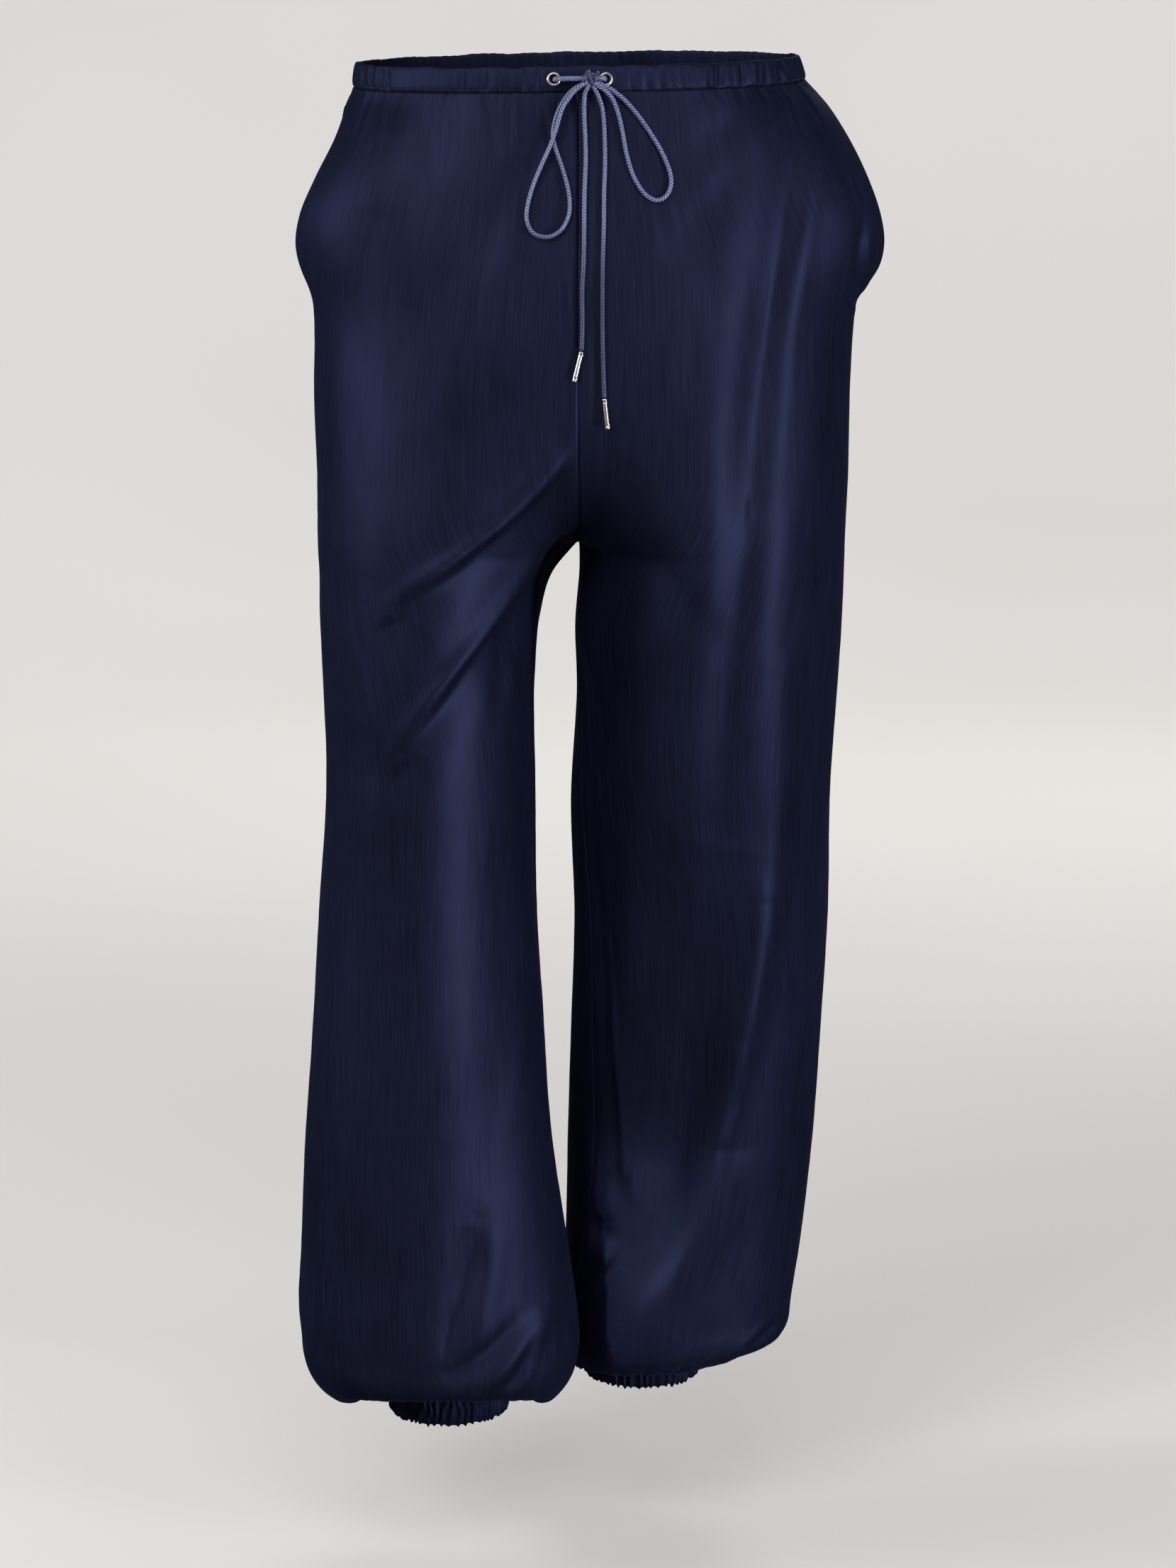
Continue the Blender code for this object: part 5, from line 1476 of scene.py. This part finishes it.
def makeAglet(side, form):
    start, end = (np.array(point) * mm for point in form["axes"][side])
    length = np.linalg.norm(end - start)
    axis = (end - start) / length
    ends, first = np.array(form["endRows"]) * mm, form["rows"]["start"] * mm
    even = np.linspace(first, length - first, form["rows"]["count"])
    marks = np.concatenate([ends, even, length - ends[::-1]])
    inwards = np.minimum(marks, length - marks) / mm
    bead, dent = form["bead"], form["dent"]
    radius = form["radius"] - form["lip"] * np.clip(1 - inwards / form["lip"], 0, 1) ** 2
    radius += bead["height"] * np.exp(-((inwards - bead["place"]) / bead["width"]) ** 2)
    path = start + axis * marks[:, None]
    points, uv = tubePoints(path, radius * mm, form["sides"])
    for at in (dent["place"] * mm, length - dent["place"] * mm):
        middle = start + axis * at + np.array(dent["offset"]) * mm
        near = np.exp(-(np.linalg.norm(points - middle, axis=2) / (dent["width"] * mm)) ** 2)
        points[..., 1] += dent["depth"] * mm * near
    data = gridMesh("aglet", points, uv, wrapColumns=True, caps=True)
    made = newObject(f"aglet_tube_{side}", data, nickel)
    turnOutwards(made)
    dressNodes(made, "nickel", f"aglet_{side}")
    return made


# The tight middle of the bow: three wraps of cord round a packed core, in mm.
knotForm = {
    "centre": (8.0, -114.4, -3.2),
    # Each wrap: place across, lean, half height and half depth.
    "wraps": ((-3.4, 0.35, 3.5, 3.0), (0.2, -0.3, 4.3, 3.2), (3.6, 0.4, 3.4, 2.8)),
    "wrapSteps": 40,
    "cordRadius": 1.45,
    "cordSides": 14,
    "flatten": 0.9,
    "core": (6.0, 3.2, 3.9),
    "coreRows": 22,
    "coreSides": 32,
    "poleGap": 0.02,
}


def makeKnot(form):
    mesh = bmesh.new()

    def addSurface(points, uv, **sides):
        data = gridMesh("knot", points, uv, wrapColumns=True, **sides)
        mesh.from_mesh(data)
        bpy.data.meshes.remove(data)

    centre = np.array(form["centre"])
    angle = np.linspace(0, 2 * np.pi, form["wrapSteps"])
    for out, lean, high, deep in form["wraps"]:
        z = high * np.cos(angle)
        ring = (centre + np.column_stack([out + lean * z, -deep * np.sin(angle), z])) * mm
        ring[-1] = ring[0]
        points, uv = tubePoints(ring, form["cordRadius"] * mm, form["cordSides"], form["flatten"])
        addSurface(points[:-1], uv, wrapRows=True)
    down = np.linspace(form["poleGap"], np.pi - form["poleGap"], form["coreRows"])
    ball = turned(np.sin(down), np.cos(down), form["coreSides"])[..., [2, 0, 1]]
    uv = gridUv(np.linspace(0, 0.02, form["coreSides"] + 1), np.linspace(0, 0.012, form["coreRows"]))
    addSurface((centre + ball * form["core"]) * mm, uv, caps=True)
    bmesh.ops.recalc_face_normals(mesh, faces=mesh.faces)
    whole = bpy.data.meshes.new("knot")
    mesh.to_mesh(whole)
    mesh.free()
    whole.shade_smooth()
    made = newObject("drawstring_knot", whole, shadedKnotCord)
    dressNodes(made, "cord", "cord_knot")
    return made


knot = makeKnot(knotForm)


def makeCord(side, form):
    line = lineThrough(cordRoutes[side], form["routeSteps"]) * mm
    path = evenLine(line, round(lengthOf(line) / form["step"]) + 1)
    points, uv = tubePoints(path, form["diameter"] / 2, form["sides"], form["flatten"])
    data = gridMesh(f"cord {side}", points, uv, wrapColumns=True, caps=True)
    made = newObject(f"drawstring_{side}", data, cordCloth)
    turnOutwards(made)
    aglet = makeAglet(side, agletForm)
    dressNodes(made, "cord", f"cord_lead_{side}", f"cord_loop_{side}", f"cord_tail_{side}")
    print("cord", side, "length", round(lengthOf(path), 4))


for side in ("right", "left"):
    makeCord(side, cordForm)
print("drawstring made")


# Stitches: small thread grains laid along a line.
def stitchTree():
    tree, given = newTree("row of stitches", "Pitch", "Stitch Length", "Thread")
    line = addNode(tree, "GeometryNodeMeshToCurve", {"Mesh": given["Geometry"]})
    spaced = addNode(tree, "GeometryNodeResampleCurve", {"Curve": line, "Length": given["Pitch"]},
                     mode="LENGTH")
    half, thick = (
        addNode(tree, "ShaderNodeMath", {0: given[name], 1: 0.5}, operation="MULTIPLY")
        for name in ("Stitch Length", "Thread")
    )
    size = addNode(tree, "ShaderNodeCombineXYZ", {"X": thick, "Y": thick, "Z": half})
    grain = addNode(tree, "GeometryNodeMeshUVSphere", {"Segments": 6, "Rings": 5, "Radius": 1.0})
    thread = addNode(tree, "GeometryNodeTransform", {"Geometry": grain, "Scale": size})
    way = addNode(tree, "GeometryNodeInputTangent")
    turn = addNode(tree, "FunctionNodeAlignRotationToVector", {"Vector": way}, axis="Z")
    laid = addNode(tree, "GeometryNodeInstanceOnPoints", {
        "Points": spaced, "Instance": thread, "Rotation": turn,
    })
    real = addNode(tree, "GeometryNodeRealizeInstances", {"Geometry": laid})
    return endTree(tree, given, addNode(tree, "GeometryNodeSetShadeSmooth", {"Geometry": real}))


stitches = stitchTree()


# Spun polyester thread, a little darker than the satin, with a dull gloss.
threadLook = {
    "dark": "#090b18", "light": "#1b1f38", "metallic": 0.0, "roughness": (0.6, 0.6), "bump": 0.3,
    "scale": 1500.0, "detail": 2.0,
}


# The row lies on the casing's outer skin, at this height in mm and this far off the cloth.
stitchForm = {
    "pitch": 3.1 * mm,
    "length": 2.3 * mm,
    "thread": 0.42 * mm,
    "height": -14.2,
    "lift": 0.1 * mm,
}


thread = makeFlecked("spun polyester thread", threadLook)


def makeStitches(name, line, form):
    data = bpy.data.meshes.new(name)
    data.from_pydata(line.tolist(), [(i, i + 1) for i in range(len(line) - 1)], [])
    made = newObject(name, data, thread)
    rows = made.modifiers.new("row of stitches", "NODES")
    rows.node_group = stitches
    setInputs(rows, {
        "Pitch": form["pitch"], "Stitch Length": form["length"], "Thread": form["thread"],
        "Material": thread,
    })
    settle(made)
    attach(made, "root")


def casingStitchLine(form):
    # The casing's outer skin at the row's height, followed round its gathers.
    profile = closedProfile(casingProfile, casingForm["profileSteps"])
    least, highest = casingForm["skin"]
    outer = [i for i, (out, at, _) in enumerate(profile) if out > least and at < highest]
    row = min(outer, key=lambda i: abs(profile[i][1] - form["height"]))
    line = casingRing[:, ::-1][row]
    outward = line - line.mean(axis=0)
    outward[:, 2] = 0
    line = line + outward / np.linalg.norm(outward, axis=1, keepdims=True) * form["lift"]
    return np.vstack([line, line[:1]])


makeStitches("stitches_casing", casingStitchLine(stitchForm), stitchForm)
print("stitches made")


# Pale round studio: a floor that curves up into a wall on every side, wide enough for a camera all round.
studio = {
    "floor": -1.045,
    "middle": 0.4 * mm,
    "radius": 5.6,
    "bend": 1.8,
    "bendSteps": 16,
    "top": 4.2,
    "around": 96,
    "paint": ("#dcd9d5", "#e4e2df"),
    # The wall glows with painted light, not lamps: its glow starts and ends at these distances from the
    # middle.
    "glowFrom": 0.15,
    "glowTo": 4.0,
    "glow": (0.1, 0.61),
    # The floor in front is lit by the lamps alone: the glow comes in over these depths and heights.
    "glowDepth": (-1.6, 0.4),
    "glowHeight": 0.2,
}


def makeStudio(form):
    angle = np.linspace(0, math.pi / 2, form["bendSteps"])
    bend, wall, floor = form["bend"], form["radius"], form["floor"]
    out = np.concatenate([[form["middle"]], wall - bend + bend * np.sin(angle), [wall]])
    z = np.concatenate([[floor], floor + bend - bend * np.cos(angle), [form["top"]]])
    uv = gridUv(np.linspace(0, 1, form["around"] + 1), out)
    data = gridMesh("sweep", turned(out, z, form["around"]), uv, wrapColumns=True)
    material, tree, shader = newMaterial("matt painted sweep")
    coords = addNode(tree, "ShaderNodeTexCoord").outputs["Object"]
    cloud = addNode(tree, "ShaderNodeTexNoise", {"Vector": coords, "Scale": 0.8, "Detail": 2.0})
    dark, light = form["paint"]
    paint = addNode(tree, "ShaderNodeMix", {0: cloud, 6: dark, 7: light}, data_type="RGBA").outputs[2]
    away = addNode(tree, "ShaderNodeVectorMath", {0: coords}, operation="LENGTH").outputs["Value"]
    # Painted light: the sweep glows faint near the middle and brighter towards its wall, and not on the
    # floor in front.
    low, high = form["glow"]
    glow = addNode(tree, "ShaderNodeMapRange", {
        "Value": away, "From Min": form["glowFrom"] - floor, "From Max": form["glowTo"],
        "To Min": low, "To Max": high,
    }, interpolation_type="SMOOTHSTEP")
    place = addNode(tree, "ShaderNodeSeparateXYZ", {0: coords}).outputs
    behind, raised = (
        addNode(tree, "ShaderNodeMapRange", {"Value": place[axis], "From Min": start, "From Max": end})
        for axis, start, end in (("Y", *form["glowDepth"]), ("Z", floor, floor + form["glowHeight"]))
    )
    lit = addNode(tree, "ShaderNodeMath", {0: behind, 1: raised}, operation="MAXIMUM")
    strength = addNode(tree, "ShaderNodeMath", {0: glow, 1: lit}, operation="MULTIPLY")
    feedNode(tree, shader, {
        "Base Color": paint, "Roughness": 0.9, "Emission Color": paint, "Emission Strength": strength,
    })
    sweep = newObject("studio_sweep", data, material)
    # The wall's glow is for the eye: the cloth is lit by the lamps and the sky alone.
    sweep.visible_diffuse = sweep.visible_glossy = False


def makeLight(name, place, target, size, power, colour, spread=180):
    data = bpy.data.lights.new(name, "AREA")
    data.shape, data.size, data.size_y = "RECTANGLE", size[0], size[1]
    data.energy, data.color = power, linearColour(colour)[:3]
    data.spread = math.radians(spread)
    made = bpy.data.objects.new(name, data)
    made.location = place
    made.rotation_euler = (Vector(target) - Vector(place)).to_track_quat("-Z", "Y").to_euler()
    made.visible_camera = False
    bpy.context.scene.collection.objects.link(made)


makeStudio(studio)
# Lamps: name, place, target, size, power, colour and, for a snooted one, its spread in degrees.
lights = (
    ("key", (-1.6, -2.3, 1.05), (0, 0, -0.5), (1.2, 1.2), 30, "#ffffff"),
    ("edge", (-2.6, -0.2, 0.3), (0, 0, -0.1), (0.9, 1.4), 33, "#ffffff"),
    ("side low", (1.9, -1.6, -0.72), (0.1, 0, -0.72), (0.3, 0.5), 41, "#f4f6ff"),
    # The soft glow at the low end of the left leg's long fold.
    ("fold end", (-1.25, -2.1, -0.86), (0.045, -0.06, -0.84), (0.06, 0.08), 0.06, "#f4f6ff", 4.5),
    ("side high", (1.9, -1.6, 0.5), (0, 0, -0.1), (0.7, 1.0), 14, "#f4f6ff"),
    ("top", (-0.3, -2.0, 1.8), (0, 0, -0.1), (2.0, 1.2), 22, "#ffffff"),
    ("back", (0.8, 2.8, 1.6), (0, 0, -0.4), (1.6, 1.6), 36, "#ffffff"),
)
for light in lights:
    makeLight(*light)
world = bpy.data.worlds.new("studio")
world.use_nodes = True
feedNode(world.node_tree, world.node_tree.nodes["Background"], {"Color": "#eceae7", "Strength": 0.22})
bpy.context.scene.world = world
bpy.context.scene.view_settings.view_transform = "Standard"
print("studio set")
